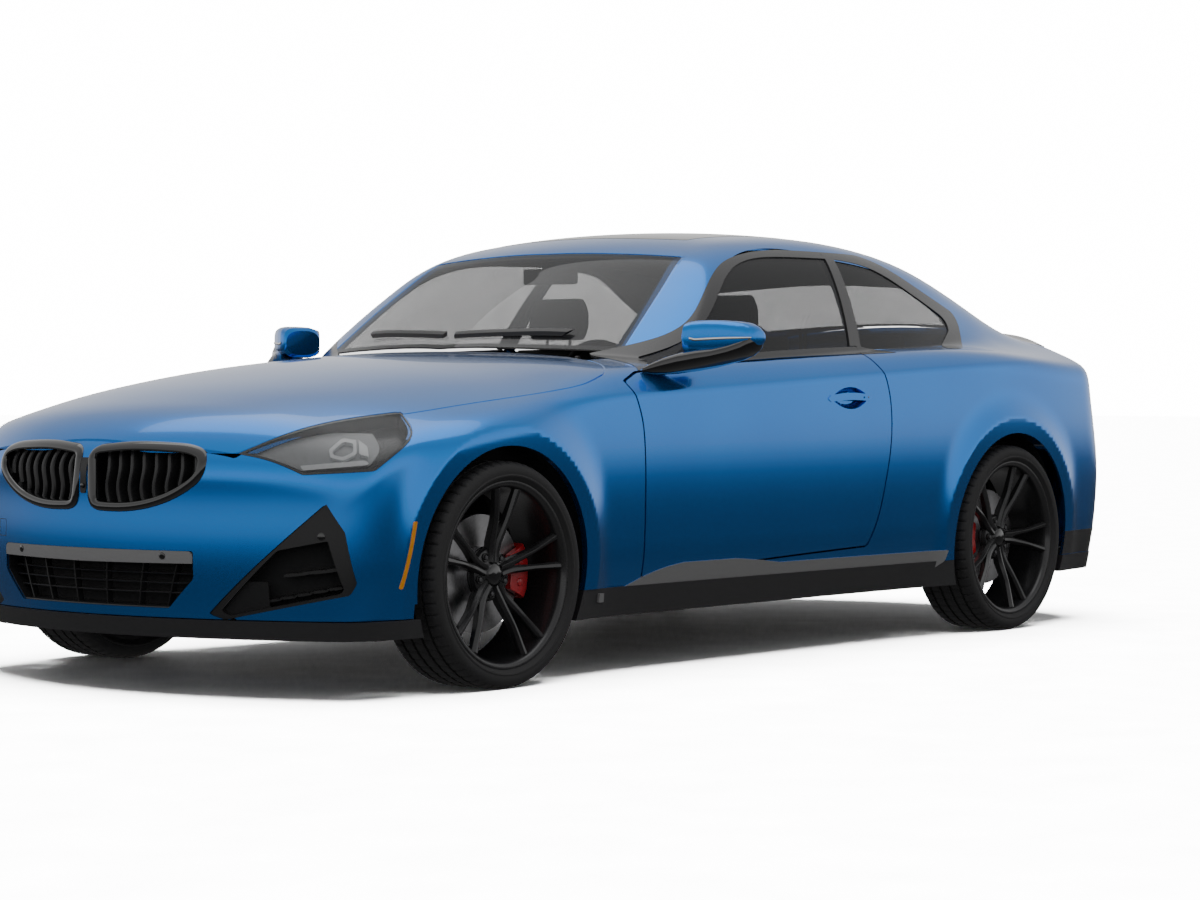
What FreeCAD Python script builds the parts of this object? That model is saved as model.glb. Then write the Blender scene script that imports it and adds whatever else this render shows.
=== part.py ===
import FreeCAD
import Part
import Sketcher
import math
import os

# A two-door coupe car, as an assembly of separate panels, glass, seats, wheels and running gear.
# Frame: millimetres, the nose points to -X, the car's left side is -Y, +Z is up.
# The origin lies on the ground, midway between the two ends and on the centre plane.

V = FreeCAD.Vector
doc = FreeCAD.newDocument("Coupe")
sheet = doc.addObject("Spreadsheet::Sheet", "Sizes")

# Driving sizes, in mm and degrees.
SIZES = {
    "overall_length": 4537.0,
    "front_overhang": 822.0,
    "wheelbase": 2741.0,
    "sill_half_width": 882.0,
    "front_arch_half_width": 903.0,
    "rear_arch_half_width": 919.0,
    "roof_height": 1401.0,
    "axle_height": 328.0,
    "front_track": 1574.0,
    "rear_track": 1590.0,
    "tyre_radius": 328.0,
    "tyre_width": 225.0,
    "rim_radius": 272.0,
    "rim_wall": 6.0,
    "arch_radius": 372.0,
    "crease_height": 886.0,
    "crease_slope": 0.0495,
    "panel_gap": 6.0,
    "glass_gap": 0.5,
    "hood_thickness": 28.0,
    "roof_thickness": 34.0,
    "side_thickness": 60.0,
    "door_thickness": 92.0,
    "skin_thickness": 6.0,
    "bumper_thickness": 9.0,
    "glass_thickness": 5.0,
    "disc_radius": 172.0,
    "disc_thickness": 26.0,
    "hub_radius": 74.0,
    "bolt_circle": 112.0,
    "bolt_hole": 14.0,
    "steering_wheel_diameter": 370.0,
    "seat_width": 520.0,
    "running_gap": 0.3,
    "ball_joint_y": 715.0,
    "ball_joint_z": 205.0,
    "strut_top_y": 610.0,
    "strut_top_z": 830.0,
    "engine_length": 680.0,
    "engine_width": 460.0,
    "tail_pipe_y": 440.0,
    "tail_pipe_z": 262.0,
}


# Sizes that follow from them.
DERIVED = {
    "front_axle_x": "=-overall_length / 2 + front_overhang",
    "rear_axle_x": "=-overall_length / 2 + front_overhang + wheelbase",
}


def add_sizes():
    row = 1
    for alias, value in list(SIZES.items()) + list(DERIVED.items()):
        sheet.set("A%d" % row, alias)
        sheet.set("B%d" % row, str(value))
        sheet.setAlias("B%d" % row, alias)
        row += 1
    doc.recompute()


def size(alias):
    return float(sheet.get(alias))


add_sizes()

LENGTH = size("overall_length")
NOSE = -LENGTH / 2
TAIL = LENGTH / 2
FRONT_AXLE = NOSE + size("front_overhang")
REAR_AXLE = FRONT_AXLE + size("wheelbase")
AXLE_Z = size("axle_height")
ROOF = size("roof_height")
GAP = size("panel_gap")
SEAL = size("glass_gap")
ARCH = size("arch_radius")



# Smooth curves and blends

def curve(points):
    """A natural cubic spline through a few points, straight beyond its ends."""
    xs = [p[0] for p in points]
    ys = [p[1] for p in points]
    count = len(xs)
    gaps = [xs[i + 1] - xs[i] for i in range(count - 1)]
    bend = [0.0] * count
    upper = [0.0] * count
    for i in range(1, count - 1):
        turn = 6 * ((ys[i + 1] - ys[i]) / gaps[i] - (ys[i] - ys[i - 1]) / gaps[i - 1])
        pivot = 2 * (gaps[i - 1] + gaps[i]) - gaps[i - 1] * upper[i - 1]
        upper[i] = gaps[i] / pivot
        bend[i] = (turn - gaps[i - 1] * bend[i - 1]) / pivot
    for i in range(count - 2, 0, -1):
        bend[i] -= upper[i] * bend[i + 1]
    start = (ys[1] - ys[0]) / gaps[0] - gaps[0] * bend[1] / 6
    end = (ys[-1] - ys[-2]) / gaps[-1] + gaps[-1] * bend[-2] / 6

    def value(t):
        if t <= xs[0]:
            return ys[0] + start * (t - xs[0])
        if t >= xs[-1]:
            return ys[-1] + end * (t - xs[-1])
        i = 0
        while xs[i + 1] < t:
            i += 1
        gap = gaps[i]
        u = (xs[i + 1] - t) / gap
        v = (t - xs[i]) / gap
        cubic = (u ** 3 - u) * bend[i] + (v ** 3 - v) * bend[i + 1]
        return u * ys[i] + v * ys[i + 1] + cubic * gap * gap / 6

    return value


def smooth_max(a, b, width):
    h = 1 - abs(a - b) / width
    if h <= 0:
        return max(a, b)
    return max(a, b) + h ** 3 * width / 6


def smooth_min(a, b, width):
    return -smooth_max(-a, -b, width)


def ramp(t, width):
    """Zero below, t above, with a soft corner as wide as width on each side."""
    if t >= width:
        return t
    if t <= -width:
        return 0.0
    s = (t + width) / (2 * width)
    return 2 * width * (s ** 3 - s ** 4 / 2)


def ease(t):
    t = min(max(t, 0.0), 1.0)
    return t * t * (3 - 2 * t)


# The body's outer form: named lines over the length, worked out from the driving sizes

FA = FRONT_AXLE
RA = REAR_AXLE
SILL = size("sill_half_width")
FRONT_W = size("front_arch_half_width")
REAR_W = size("rear_arch_half_width")
nose_face = curve([(150, NOSE + 33), (260, NOSE + 10), (420, NOSE), (600, NOSE + 3),
                   (690, NOSE + 13), (735, NOSE + 42), (780, NOSE + 89)])
tail_face = curve([(250, TAIL - 34), (380, TAIL - 14), (560, TAIL), (720, TAIL - 28),
                   (850, TAIL - 56), (1000, TAIL - 88), (1060, TAIL - 108)])
top_line = curve([(NOSE - 52, 600), (NOSE + 6, 700), (NOSE + 42, 738), (NOSE + 78, 768),
                  (NOSE + 168, 806), (FA - 453, 858), (FA - 253, 896), (FA, 932),
                  (FA + 250, 956), (FA + 500, 972), (FA + 706, 981), (RA - 1594, 1001),
                  (RA - 1064, 1019), (RA - 524, 1034), (RA + 6, 1048), (RA + 456, 1056),
                  (TAIL - 168, 1060), (TAIL - 18, 1060)])
top_drop = curve([(NOSE, 55), (FA - 453, 74), (FA + 46, 84), (FA + 346, 80), (FA + 546, 58),
                  (FA + 671, 50), (RA - 1358, 40), (RA - 859, 38), (RA - 318, 36),
                  (RA + 6, 50), (RA + 406, 80), (TAIL - 168, 110)])
half_width = curve([(NOSE, SILL - 14), (FA - 453, SILL), (FA, SILL + 4), (FA + 446, SILL - 4),
                    (FA + 846, SILL - 6), (RA - 1294, SILL), (RA - 694, SILL + 10),
                    (RA - 294, SILL + 21), (RA, SILL + 26), (RA + 406, SILL + 18),
                    (TAIL - 268, SILL - 14), (TAIL, SILL - 72)])
cabin_width = curve([(FA + 546, 700), (FA + 746, 742), (FA + 1046, 788), (RA - 1294, 806),
                     (RA - 794, 800), (RA - 394, 775), (RA - 44, 725), (RA + 306, 655),
                     (RA + 606, 590)])
roof_line = curve([(FA + 646, ROOF - 436), (FA + 806, ROOF - 335), (FA + 966, ROOF - 238),
                   (FA + 1106, ROOF - 159), (FA + 1236, ROOF - 89), (FA + 1346, ROOF - 51),
                   (RA - 1294, ROOF - 29), (RA - 1094, ROOF - 8), (RA - 894, ROOF),
                   (RA - 694, ROOF - 3), (RA - 494, ROOF - 17), (RA - 294, ROOF - 43),
                   (RA - 94, ROOF - 82), (RA + 106, ROOF - 138), (RA + 306, ROOF - 210),
                   (RA + 506, ROOF - 292), (RA + 656, ROOF - 355)])


def crease(x):
    """Height of the shoulder crease that runs along the side."""
    return size_crease + size_slope * x


size_crease = size("crease_height")
size_slope = size("crease_slope")


def side_width(x, z):
    """Half-width of the lower body: sill, door, crease, shoulder and arch flares."""
    crease_z = crease(x)
    width = half_width(x) - 45 + 0.2129 * (z - 190) - 0.1659 * ramp(z - 345, 60)
    width += (-12 / (crease_z - 600) - 0.047) * ramp(z - 600, 220)
    width += (-0.66 + 12 / (crease_z - 600)) * ramp(z - crease_z, 14)
    for axle, lip in ((FA, FRONT_W), (RA, REAR_W)):
        away = math.hypot(x - axle, z - AXLE_Z)
        if away < 800:
            lean = min(max((AXLE_Z + 420 - z) / 420, 0.0), 1.5) ** 1.5
            flare = lip - 0.30 * ramp(away - ARCH - 58, 6) - 26 * lean
            width = smooth_max(width, flare, 14)
    return width


def lower_body(x, w, z):
    """Below zero inside the body under the glass."""
    q = (w / 800) ** 2
    top = top_line(x - 3.0e-4 * w * w) - top_drop(x) * (0.5 * q + 0.5 * q * q)
    field = smooth_max(w - side_width(x, z), z - top, 70)
    if x < NOSE + 700:
        field = smooth_max(field, nose_face(z) + 3.4e-4 * w * w - x, 110)
    if x > TAIL - 700:
        field = smooth_max(field, x - tail_face(z) + 3.0e-4 * w * w + 1.2e-10 * w ** 4, 110)
    return field


def cabin(x, w, z):
    """Below zero inside the greenhouse."""
    rise = max(z - 950, -60)
    side = cabin_width(x) - 0.30 * rise - 6.2e-4 * rise * abs(rise)
    bow = 2.7e-4 * (1 - ease((x - FA - 746) / 800)) - 2.0e-4 * ease((x - RA + 394) / 500)
    top = roof_line(x - bow * w * w) - 45 * (w / 600) ** 2
    field = smooth_max(w - side, z - top, 120)
    return max(field, 860 - z, x - TAIL + 300)


def whole_body(x, w, z):
    blend = 16 + 150 * ease((x - RA + 394) / 600)
    return smooth_min(lower_body(x, w, z), cabin(x, w, z), blend)


# Patches: a ray through each grid point meets the form at two depths, which bound a panel

def meet(field, start, way, depth, reach=1600.0):
    """Where a ray from inside leaves the field at the given depth below its skin."""
    low = 0.0
    high = reach
    at_low = field(start[0], abs(start[1]), start[2]) + depth
    at_high = 1.0
    end = (start[0] + way[0] * high, start[1] + way[1] * high, start[2] + way[2] * high)
    at_high = field(end[0], abs(end[1]), end[2]) + depth
    side = 0
    for step in range(60):
        middle = (low * at_high - high * at_low) / (at_high - at_low)
        if step % 3 == 2:
            middle = (low + high) / 2
        x = start[0] + way[0] * middle
        y = start[1] + way[1] * middle
        z = start[2] + way[2] * middle
        value = field(x, abs(y), z) + depth
        if value < 0:
            low, at_low = middle, value
        else:
            high, at_high = middle, value
        if abs(value) < 0.01 or high - low < 0.01:
            break
    return V(x, y, z)


def spline_poles(places, values):
    """Control points of the natural cubic spline through the values (vectors) at the places."""
    count = len(places)
    gaps = [places[i + 1] - places[i] for i in range(count - 1)]
    bend = [V(0, 0, 0) for _ in range(count)]
    upper = [0.0] * count
    for i in range(1, count - 1):
        turn = (values[i + 1] - values[i]) * (6 / gaps[i])
        turn -= (values[i] - values[i - 1]) * (6 / gaps[i - 1])
        pivot = 2 * (gaps[i - 1] + gaps[i]) - gaps[i - 1] * upper[i - 1]
        upper[i] = gaps[i] / pivot
        bend[i] = (turn - bend[i - 1] * gaps[i - 1]) * (1 / pivot)
    for i in range(count - 2, 0, -1):
        bend[i] = bend[i] - bend[i + 1] * upper[i]
    knots = [places[0]] * 3 + list(places) + [places[-1]] * 3
    poles = []
    for j in range(count + 2):
        i = min(max(j - 1, 0), count - 2)
        gap = gaps[i]
        slope = (values[i + 1] - values[i]) * (1 / gap)
        slope -= (bend[i] * 2 + bend[i + 1]) * (gap / 6)
        cubic = (bend[i + 1] - bend[i]) * (1 / (6 * gap))
        a, b, c = [knots[j + k] - places[i] for k in (1, 2, 3)]
        pole = values[i] + slope * ((a + b + c) / 3)
        pole += bend[i] * ((a * b + b * c + c * a) / 6) + cubic * (a * b * c)
        poles.append(pole)
    return poles


def mean_places(rows):
    """Parameters along the rows: their chord lengths, averaged over all rows."""
    places = [0.0]
    for i in range(len(rows[0]) - 1):
        step = sum((row[i + 1] - row[i]).Length for row in rows) / len(rows)
        places.append(places[-1] + step)
    return places


def smooth_surface(grid):
    """One cubic surface through a grid of points."""
    across = mean_places(grid)
    along = mean_places([list(column) for column in zip(*grid)])
    rows = [spline_poles(across, row) for row in grid]
    columns = [spline_poles(along, list(column)) for column in zip(*rows)]
    poles = [list(row) for row in zip(*columns)]
    surface = Part.BSplineSurface()
    counts = [[4] + [1] * (len(places) - 2) + [4] for places in (along, across)]
    surface.buildFromPolesMultsKnots(poles, counts[0], counts[1], along, across,
                                     False, False, 3, 3)
    return surface


def patch(field, rays, depth, outer=0.0):
    """A closed solid between two depths, from a grid of rays."""
    sheets = []
    for level in (outer, outer + depth):
        grid = [[meet(field, start, way, level) for start, way in row] for row in rays]
        sheets.append(smooth_surface(grid))
    faces = [sheets[0].toShape(), sheets[1].toShape()]
    ends = [surface.bounds() for surface in sheets]
    for side in range(4):
        edges = []
        for surface, bounds in zip(sheets, ends):
            line = surface.uIso(bounds[side]) if side < 2 else surface.vIso(bounds[side])
            edges.append(line.toShape())
        faces.append(Part.makeRuledSurface(edges[0], edges[1]))
    shell = Part.makeShell(faces)
    shell.sewShape()
    solid = Part.makeSolid(shell)
    if solid.Volume < 0:
        solid.reverse()
    return solid


def unit(x, y, z):
    length = math.sqrt(x * x + y * y + z * z)
    return (x / length, y / length, z / length)


def section_rays(stations, targets, spine):
    """Rays in cross planes, from a spine at height spine(x) through the targets (w, z)."""
    rows = []
    for x in stations:
        start = (x, 0.0, spine(x))
        rows.append([(start, unit(0, -w, z - start[2])) for w, z in targets(x)])
    return rows


def fan_rays(hub_x, turns, heights):
    """Level rays that fan out from an upright axis; a turn of 0 points to the nose."""
    rows = []
    for turn in turns:
        angle = math.radians(turn)
        way = (-math.cos(angle), -math.sin(angle), 0.0)
        rows.append([((hub_x, 0.0, z), way) for z in heights])
    return rows


def deck_rays(hub_x, hub_z, offsets, turns):
    """Rays in upright lengthwise planes that fan from over the deck to the tail."""
    rows = []
    for y in offsets:
        row = []
        for turn in turns:
            angle = math.radians(turn)
            row.append(((hub_x, y, hub_z), (math.cos(angle), 0.0, math.sin(angle))))
        rows.append(row)
    return rows


def spread(first, last, count):
    return [first + (last - first) * i / (count - 1) for i in range(count)]


# Outlines: each is a closed ring of runs, and a run of more than two points is a smooth curve

def ring_points(ring):
    return [run[:-1] for run in ring]


def widen(ring, gap):
    """The same ring with every point moved out by gap."""
    flat = [p for run in ring_points(ring) for p in run]
    count = len(flat)
    area = sum(flat[i][0] * flat[(i + 1) % count][1] - flat[(i + 1) % count][0] * flat[i][1]
               for i in range(count))
    sign = 1 if area > 0 else -1
    moved = []
    for i in range(count):
        ax = flat[i][0] - flat[i - 1][0]
        ay = flat[i][1] - flat[i - 1][1]
        bx = flat[(i + 1) % count][0] - flat[i][0]
        by = flat[(i + 1) % count][1] - flat[i][1]
        a = math.hypot(ax, ay)
        b = math.hypot(bx, by)
        nx = ay / a + by / b
        ny = -ax / a - bx / b
        scale = 2 * gap * sign / (nx * nx + ny * ny)
        moved.append((flat[i][0] + nx * scale, flat[i][1] + ny * scale))
    result = []
    first = 0
    for run in ring:
        last = first + len(run) - 1
        result.append([moved[k % count] for k in range(first, last + 1)])
        first = last
    return result


def ring_face(ring, place):
    edges = []
    for run in ring:
        points = [place(a, b) for a, b in run]
        if len(points) == 2:
            edges.append(Part.makeLine(points[0], points[1]))
        else:
            bend = Part.BSplineCurve()
            bend.interpolate(points)
            edges.append(bend.toShape())
    return Part.Face(Part.Wire(edges))


def side_prism(ring, near=-1200.0, far=-5.0):
    """An outline in the side view (x, z), swept across the left half of the car."""
    face = ring_face(ring, lambda a, b: V(a, near, b))
    return face.extrude(V(0, far - near, 0))


def plan_prism(ring, low=-50.0, high=2000.0):
    """An outline in the plan (x, y), swept upwards."""
    face = ring_face(ring, lambda a, b: V(a, b, low))
    return face.extrude(V(0, 0, high - low))


def front_prism(ring, near, far):
    """An outline in the front view (y, z), swept along the car."""
    face = ring_face(ring, lambda a, b: V(near, a, b))
    return face.extrude(V(far - near, 0, 0))


def mirrored(shape):
    return shape.mirror(V(0, 0, 0), V(0, 1, 0))


def both(shape):
    return [shape, mirrored(shape)]


def ring_mirrored(half):
    """Closes a half outline of the plan (x, y), given from centre line to centre line."""
    return half + [[(a, -b) for a, b in reversed(run)] for run in reversed(half)]


def front_mirrored(half):
    """Closes a half outline of the front view (y, z) in the same way."""
    return half + [[(-a, b) for a, b in reversed(run)] for run in reversed(half)]


def box(x0, x1, y0, y1, z0, z1):
    return Part.makeBox(x1 - x0, y1 - y0, z1 - z0, V(x0, y0, z0))


def cylinder_y(radius, x, z, y0, y1):
    return Part.makeCylinder(radius, y1 - y0, V(x, y0, z), V(0, 1, 0))


def cylinder_x(radius, x0, x1, y, z):
    return Part.makeCylinder(radius, x1 - x0, V(x0, y, z), V(1, 0, 0))


NODES = []


def node(name, shapes):
    """Adds one named sub-part, made of one solid or of solids that don't touch."""
    shapes = shapes if isinstance(shapes, list) else [shapes]
    solids = [s for shape in shapes for s in shape.Solids]
    feature = doc.addObject("Part::Feature", name)
    feature.Shape = solids[0] if len(solids) == 1 else Part.makeCompound(solids)
    feature.Label = name
    NODES.append(feature)
    return feature


def largest(shape):
    """The main solid of a cut shape, without the crumbs beside it."""
    return max(shape.Solids, key=lambda s: s.Volume)


# Parts that are bound to the sheet: turned profiles, pads, boxes and rods


def bind(feature, expressions):
    for path, text in expressions.items():
        feature.setExpression(path, text)
    return feature


def profile(body, name, corners, plane, offset=0.0):
    """A closed sketch whose corners lie where the pairs of expressions say."""
    sketch = body.newObject("Sketcher::SketchObject", name)
    sketch.AttachmentSupport = (body.Origin.OriginFeatures[plane], [""])
    sketch.MapMode = "FlatFace"
    sketch.AttachmentOffset = FreeCAD.Placement(V(0, 0, offset), FreeCAD.Rotation())
    spots = [V(sheet_value(a), sheet_value(b), 0) for a, b in corners]
    count = len(spots)
    for i in range(count):
        sketch.addGeometry(Part.LineSegment(spots[i], spots[(i + 1) % count]), False)
    for i in range(count):
        sketch.addConstraint(Sketcher.Constraint("Coincident", i, 2, (i + 1) % count, 1))
    for i in range(count):
        for way, text in zip(("DistanceX", "DistanceY"), corners[i]):
            place = spots[i].x if way == "DistanceX" else spots[i].y
            index = sketch.addConstraint(Sketcher.Constraint(way, -1, 1, i, 1, place))
            sketch.setExpression("Constraints[%d]" % index, text)
    return sketch


def sheet_value(text):
    """The value of an expression on the sheet, for a sketch's first guess."""
    sheet.set("D1", "=" + text.replace("Sizes.", ""))
    sheet.recompute()
    return float(sheet.get("D1"))


def place_body(body, base, turn):
    body.Placement = FreeCAD.Placement(V(*[sheet_value(text) for text in base]), turn)
    return bind(body, {"Placement.Base.x": base[0], "Placement.Base.y": base[1],
                       "Placement.Base.z": base[2]})


def turned_body(name, corners):
    """A PartDesign body: a profile of (offset along X, radius) turned about the X axis."""
    body = doc.addObject("PartDesign::Body", name)
    sketch = profile(body, name + "_profile", corners, 3)
    turn = body.newObject("PartDesign::Revolution", name + "_turn")
    turn.Profile = sketch
    turn.ReferenceAxis = (sketch, ["H_Axis"])
    turn.Angle = 360
    return body


def cut_windows(body, name, corners, count):
    """Pockets the outline through the body and repeats it round the X axis."""
    sketch = profile(body, name + "_outline", corners, 5, 150.0)
    return repeat_pocket(body, name, sketch, count)


def repeat_pocket(body, name, sketch, count):
    pocket = body.newObject("PartDesign::Pocket", name)
    pocket.Profile = sketch
    pocket.Length = 300
    pattern = body.newObject("PartDesign::PolarPattern", name + "_pattern")
    pattern.Originals = [pocket]
    pattern.Axis = (body.Origin.OriginFeatures[0], [""])
    pattern.Angle = 360
    pattern.Occurrences = count
    body.Tip = pattern
    return body


def bolt_holes(body, name, count):
    sketch = body.newObject("Sketcher::SketchObject", name + "_outline")
    sketch.AttachmentSupport = (body.Origin.OriginFeatures[5], [""])
    sketch.MapMode = "FlatFace"
    sketch.AttachmentOffset = FreeCAD.Placement(V(0, 0, 150), FreeCAD.Rotation())
    centre = V(0, size("bolt_circle") / 2, 0)
    sketch.addGeometry(Part.Circle(centre, V(0, 0, 1), size("bolt_hole") / 2), False)
    sketch.addConstraint(Sketcher.Constraint("PointOnObject", 0, 3, -2))
    up = sketch.addConstraint(Sketcher.Constraint("DistanceY", -1, 1, 0, 3, centre.y))
    wide = sketch.addConstraint(Sketcher.Constraint("Diameter", 0, size("bolt_hole")))
    sketch.setExpression("Constraints[%d]" % up, "Sizes.bolt_circle / 2")
    sketch.setExpression("Constraints[%d]" % wide, "Sizes.bolt_hole")
    return repeat_pocket(body, name, sketch, count)


def block(name, x0, x1, y0, y1, z0, z1):
    """A box between expressions on the sheet."""
    feature = doc.addObject("Part::Box", name)
    return bind(feature, {"Length": "(%s) - (%s)" % (x1, x0), "Width": "(%s) - (%s)" % (y1, y0),
                          "Height": "(%s) - (%s)" % (z1, z0), "Placement.Base.x": x0,
                          "Placement.Base.y": y0, "Placement.Base.z": z0})


def rod(name, radius, length, x, y, z, turn):
    """A round bar from a point on the sheet; the turn takes its own Z axis to its direction."""
    feature = doc.addObject("Part::Cylinder", name)
    feature.Placement = FreeCAD.Placement(V(0, 0, 0), turn)
    return bind(feature, {"Radius": radius, "Height": length, "Placement.Base.x": x,
                          "Placement.Base.y": y, "Placement.Base.z": z})


def fused(name, pieces):
    feature = doc.addObject("Part::MultiFuse", name)
    feature.Shapes = pieces
    return feature


def keep(feature, name):
    """Lists a bound feature as one of the car's sub-parts."""
    feature.Label = name
    NODES.append(feature)
    return feature



# Shut lines, measured from the axles and the ends

SILL_Z = 264.0
DOOR_RING = [
    [(FA + 666, 290), (FA + 665, 420), (FA + 664, 554), (FA + 662, 686), (FA + 653, 768),
     (FA + 628, 837), (FA + 606, 883)],
    [(FA + 606, 883), (FA + 690, 909)],
    [(FA + 690, 909), (RA - 1330, 955), (RA - 828, 974)],
    [(RA - 828, 974), (RA - 770, 860), (RA - 757, 768), (RA - 766, 660), (RA - 796, 540),
     (RA - 838, 417), (RA - 888, 336)],
    [(RA - 888, 336), (RA - 1418, 318), (FA + 666, 290)],
]
WINDOW_RING = [
    [(FA + 800, 916), (RA - 1330, 950), (RA - 828, 970)],
    [(RA - 828, 970), (RA - 746, 1304)],
    [(RA - 746, 1304), (RA - 1080, 1322), (RA - 1245, 1300), (RA - 1360, 1262),
     (RA - 1470, 1194), (FA + 1110, 1077), (FA + 820, 966)],
    [(FA + 820, 966), (FA + 800, 916)],
]
QUARTER_RING = [
    [(RA - 806, 990), (RA - 300, 1006), (RA - 120, 1016)],
    [(RA - 120, 1016), (RA - 30, 1050), (RA - 60, 1110)],
    [(RA - 60, 1110), (RA - 240, 1205), (RA - 440, 1265), (RA - 724, 1298)],
    [(RA - 724, 1298), (RA - 806, 990)],
]
HOOD_HALF = [
    [(NOSE + 46, 0), (NOSE + 57, -260), (NOSE + 109, -508)],
    [(NOSE + 109, -508), (FA - 590, -636), (FA - 450, -693), (FA - 304, -744),
     (FA - 110, -778), (FA + 72, -795), (FA + 327, -808), (FA + 450, -810), (FA + 560, -788)],
    [(FA + 560, -788), (FA + 625, -730), (FA + 680, -560)],
    [(FA + 680, -560), (FA + 668, -300), (FA + 664, 0)],
]
WINDSCREEN_HALF = [
    [(FA + 690, 0), (FA + 740, -330), (FA + 850, -632)],
    [(FA + 850, -632), (FA + 1080, -590), (FA + 1290, -540)],
    [(FA + 1290, -540), (FA + 1255, -300), (FA + 1236, 0)],
]
ROOF_HALF = [
    [(FA + 1237, 0), (FA + 1256, -300), (FA + 1291, -540)],
    [(FA + 1291, -540), (RA - 800, -556), (RA + 20, -520)],
    [(RA + 20, -520), (RA + 70, -300), (RA + 84, 0)],
]
REAR_WINDOW_HALF = [
    [(RA + 85, 0), (RA + 71, -300), (RA + 21, -520)],
    [(RA + 21, -520), (RA + 250, -530), (RA + 470, -540)],
    [(RA + 470, -540), (RA + 530, -300), (RA + 548, 0)],
]
TRUNK_HALF = [
    [(RA + 588, 0), (RA + 580, -300), (RA + 558, -560)],
    [(RA + 558, -560), (RA + 660, -640), (TAIL + 40, -655)],
    [(TAIL + 40, -655), (TAIL + 40, 0)],
]
BUMPER_RING = [
    [(FA - 372, 100), (FA - 372, 330), (FA - 330, 500)],
    [(FA - 330, 500), (FA - 195, 662)],
    [(FA - 195, 662), (FA - 239, 692), (FA - 385, 722)],
    [(FA - 385, 722), (FA - 330, 850)],
    [(FA - 330, 850), (NOSE - 300, 850)],
    [(NOSE - 300, 850), (NOSE - 300, 100)],
    [(NOSE - 300, 100), (FA - 372, 100)],
]
LAMP_RING = [
    [(-1167, 683), (-991, 752), (-851, 782), (-705, 800)],
    [(-705, 800), (-675, 744), (-730, 681)],
    [(-730, 681), (-787, 637)],
    [(-787, 637), (-984, 626)],
    [(-984, 626), (-1079, 665), (-1167, 683)],
]
KIDNEY_RING = [
    [(-13, 664), (-21, 558)],
    [(-21, 558), (-33, 530), (-64, 518)],
    [(-64, 518), (-150, 517), (-290, 540), (-385, 584), (-424, 622), (-431, 655), (-421, 685),
     (-385, 704), (-300, 714), (-160, 716), (-50, 707)],
    [(-50, 707), (-22, 692), (-13, 664)],
]
INTAKE_HALF = [
    [(0, 412), (-395, 412)],
    [(-395, 412), (-395, 335)],
    [(-395, 335), (-308, 250)],
    [(-308, 250), (0, 250)],
]
SIDE_INTAKE_RING = [
    [(-764, 549), (-812, 470)],
    [(-812, 470), (-835, 329)],
    [(-835, 329), (-819, 296)],
    [(-819, 296), (-478, 222)],
    [(-478, 222), (-432, 238)],
    [(-432, 238), (-764, 549)],
]
REAR_BUMPER_TOP = [
    [(RA + 200, 100), (RA + 200, 643)],
    [(RA + 200, 643), (RA + 300, 660), (RA + 389, 694), (RA + 530, 740), (RA + 700, 706)],
    [(RA + 700, 706), (TAIL + 300, 650)],
    [(TAIL + 300, 650), (TAIL + 300, 100)],
    [(TAIL + 300, 100), (RA + 200, 100)],
]

TAIL_LAMP_RING = [
    [(748, 905), (860, 915), (991, 912)],
    [(991, 912), (991, 812)],
    [(991, 812), (860, 776), (780, 770)],
    [(780, 770), (748, 905)],
]
LID_LAMP_RING = [
    [(-468, 896), (-560, 905), (-640, 906)],
    [(-640, 906), (-640, 816)],
    [(-640, 816), (-560, 826), (-468, 850)],
    [(-468, 850), (-468, 896)],
]
HANDLE_RECESS_RING = [
    [(FA + 1638, 828), (FA + 1700, 800), (FA + 1800, 798), (FA + 1862, 830)],
    [(FA + 1862, 830), (FA + 1800, 858), (FA + 1700, 857), (FA + 1638, 828)],
]
HANDLE_RING = [
    [(FA + 1622, 826), (FA + 1640, 838)],
    [(FA + 1640, 838), (FA + 1750, 846), (FA + 1862, 840)],
    [(FA + 1862, 840), (FA + 1878, 828)],
    [(FA + 1878, 828), (FA + 1862, 818)],
    [(FA + 1862, 818), (FA + 1750, 822), (FA + 1640, 816)],
    [(FA + 1640, 816), (FA + 1622, 826)],
]


def diagonal_prism(ring, gap=0.0):
    """A headlamp outline, seen square to the corner of the nose, swept through it."""
    half = math.sqrt(0.5)
    face = ring_face(widen(ring, gap),
                     lambda a, b: V(a * half - 2400 * half, -a * half - 2400 * half, b))
    return face.extrude(V(1500, 1500, 0))


def rear_diagonal_prism(ring, gap=0.0):
    """The same for the left corner of the tail."""
    half = math.sqrt(0.5)
    face = ring_face(widen(ring, gap),
                     lambda a, b: V(a * half + 2600 * half, a * half - 2600 * half, b))
    return face.extrude(V(-700, 700, 0))


hood_outline = plan_prism(ring_mirrored(HOOD_HALF))
hood_opening = plan_prism(widen(ring_mirrored(HOOD_HALF), GAP), 400.0)
screen_outline = plan_prism(ring_mirrored(WINDSCREEN_HALF), 700.0)
screen_opening = plan_prism(widen(ring_mirrored(WINDSCREEN_HALF), SEAL), 700.0)
trunk_outline = plan_prism(ring_mirrored(TRUNK_HALF), 600.0)
trunk_opening = plan_prism(widen(ring_mirrored(TRUNK_HALF), GAP), 640.0)
door_outline = side_prism(DOOR_RING)
door_opening = side_prism(widen(DOOR_RING, GAP))
arch_front = cylinder_y(ARCH, FA, AXLE_Z, -1200, 0)
arch_rear = cylinder_y(ARCH, RA, AXLE_Z, -1200, 0)
HINGE_X = FA + 706
PIPE_Y = size("tail_pipe_y")
PIPE_Z = size("tail_pipe_z")
HINGE_Y = -(SILL - 27)


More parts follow.
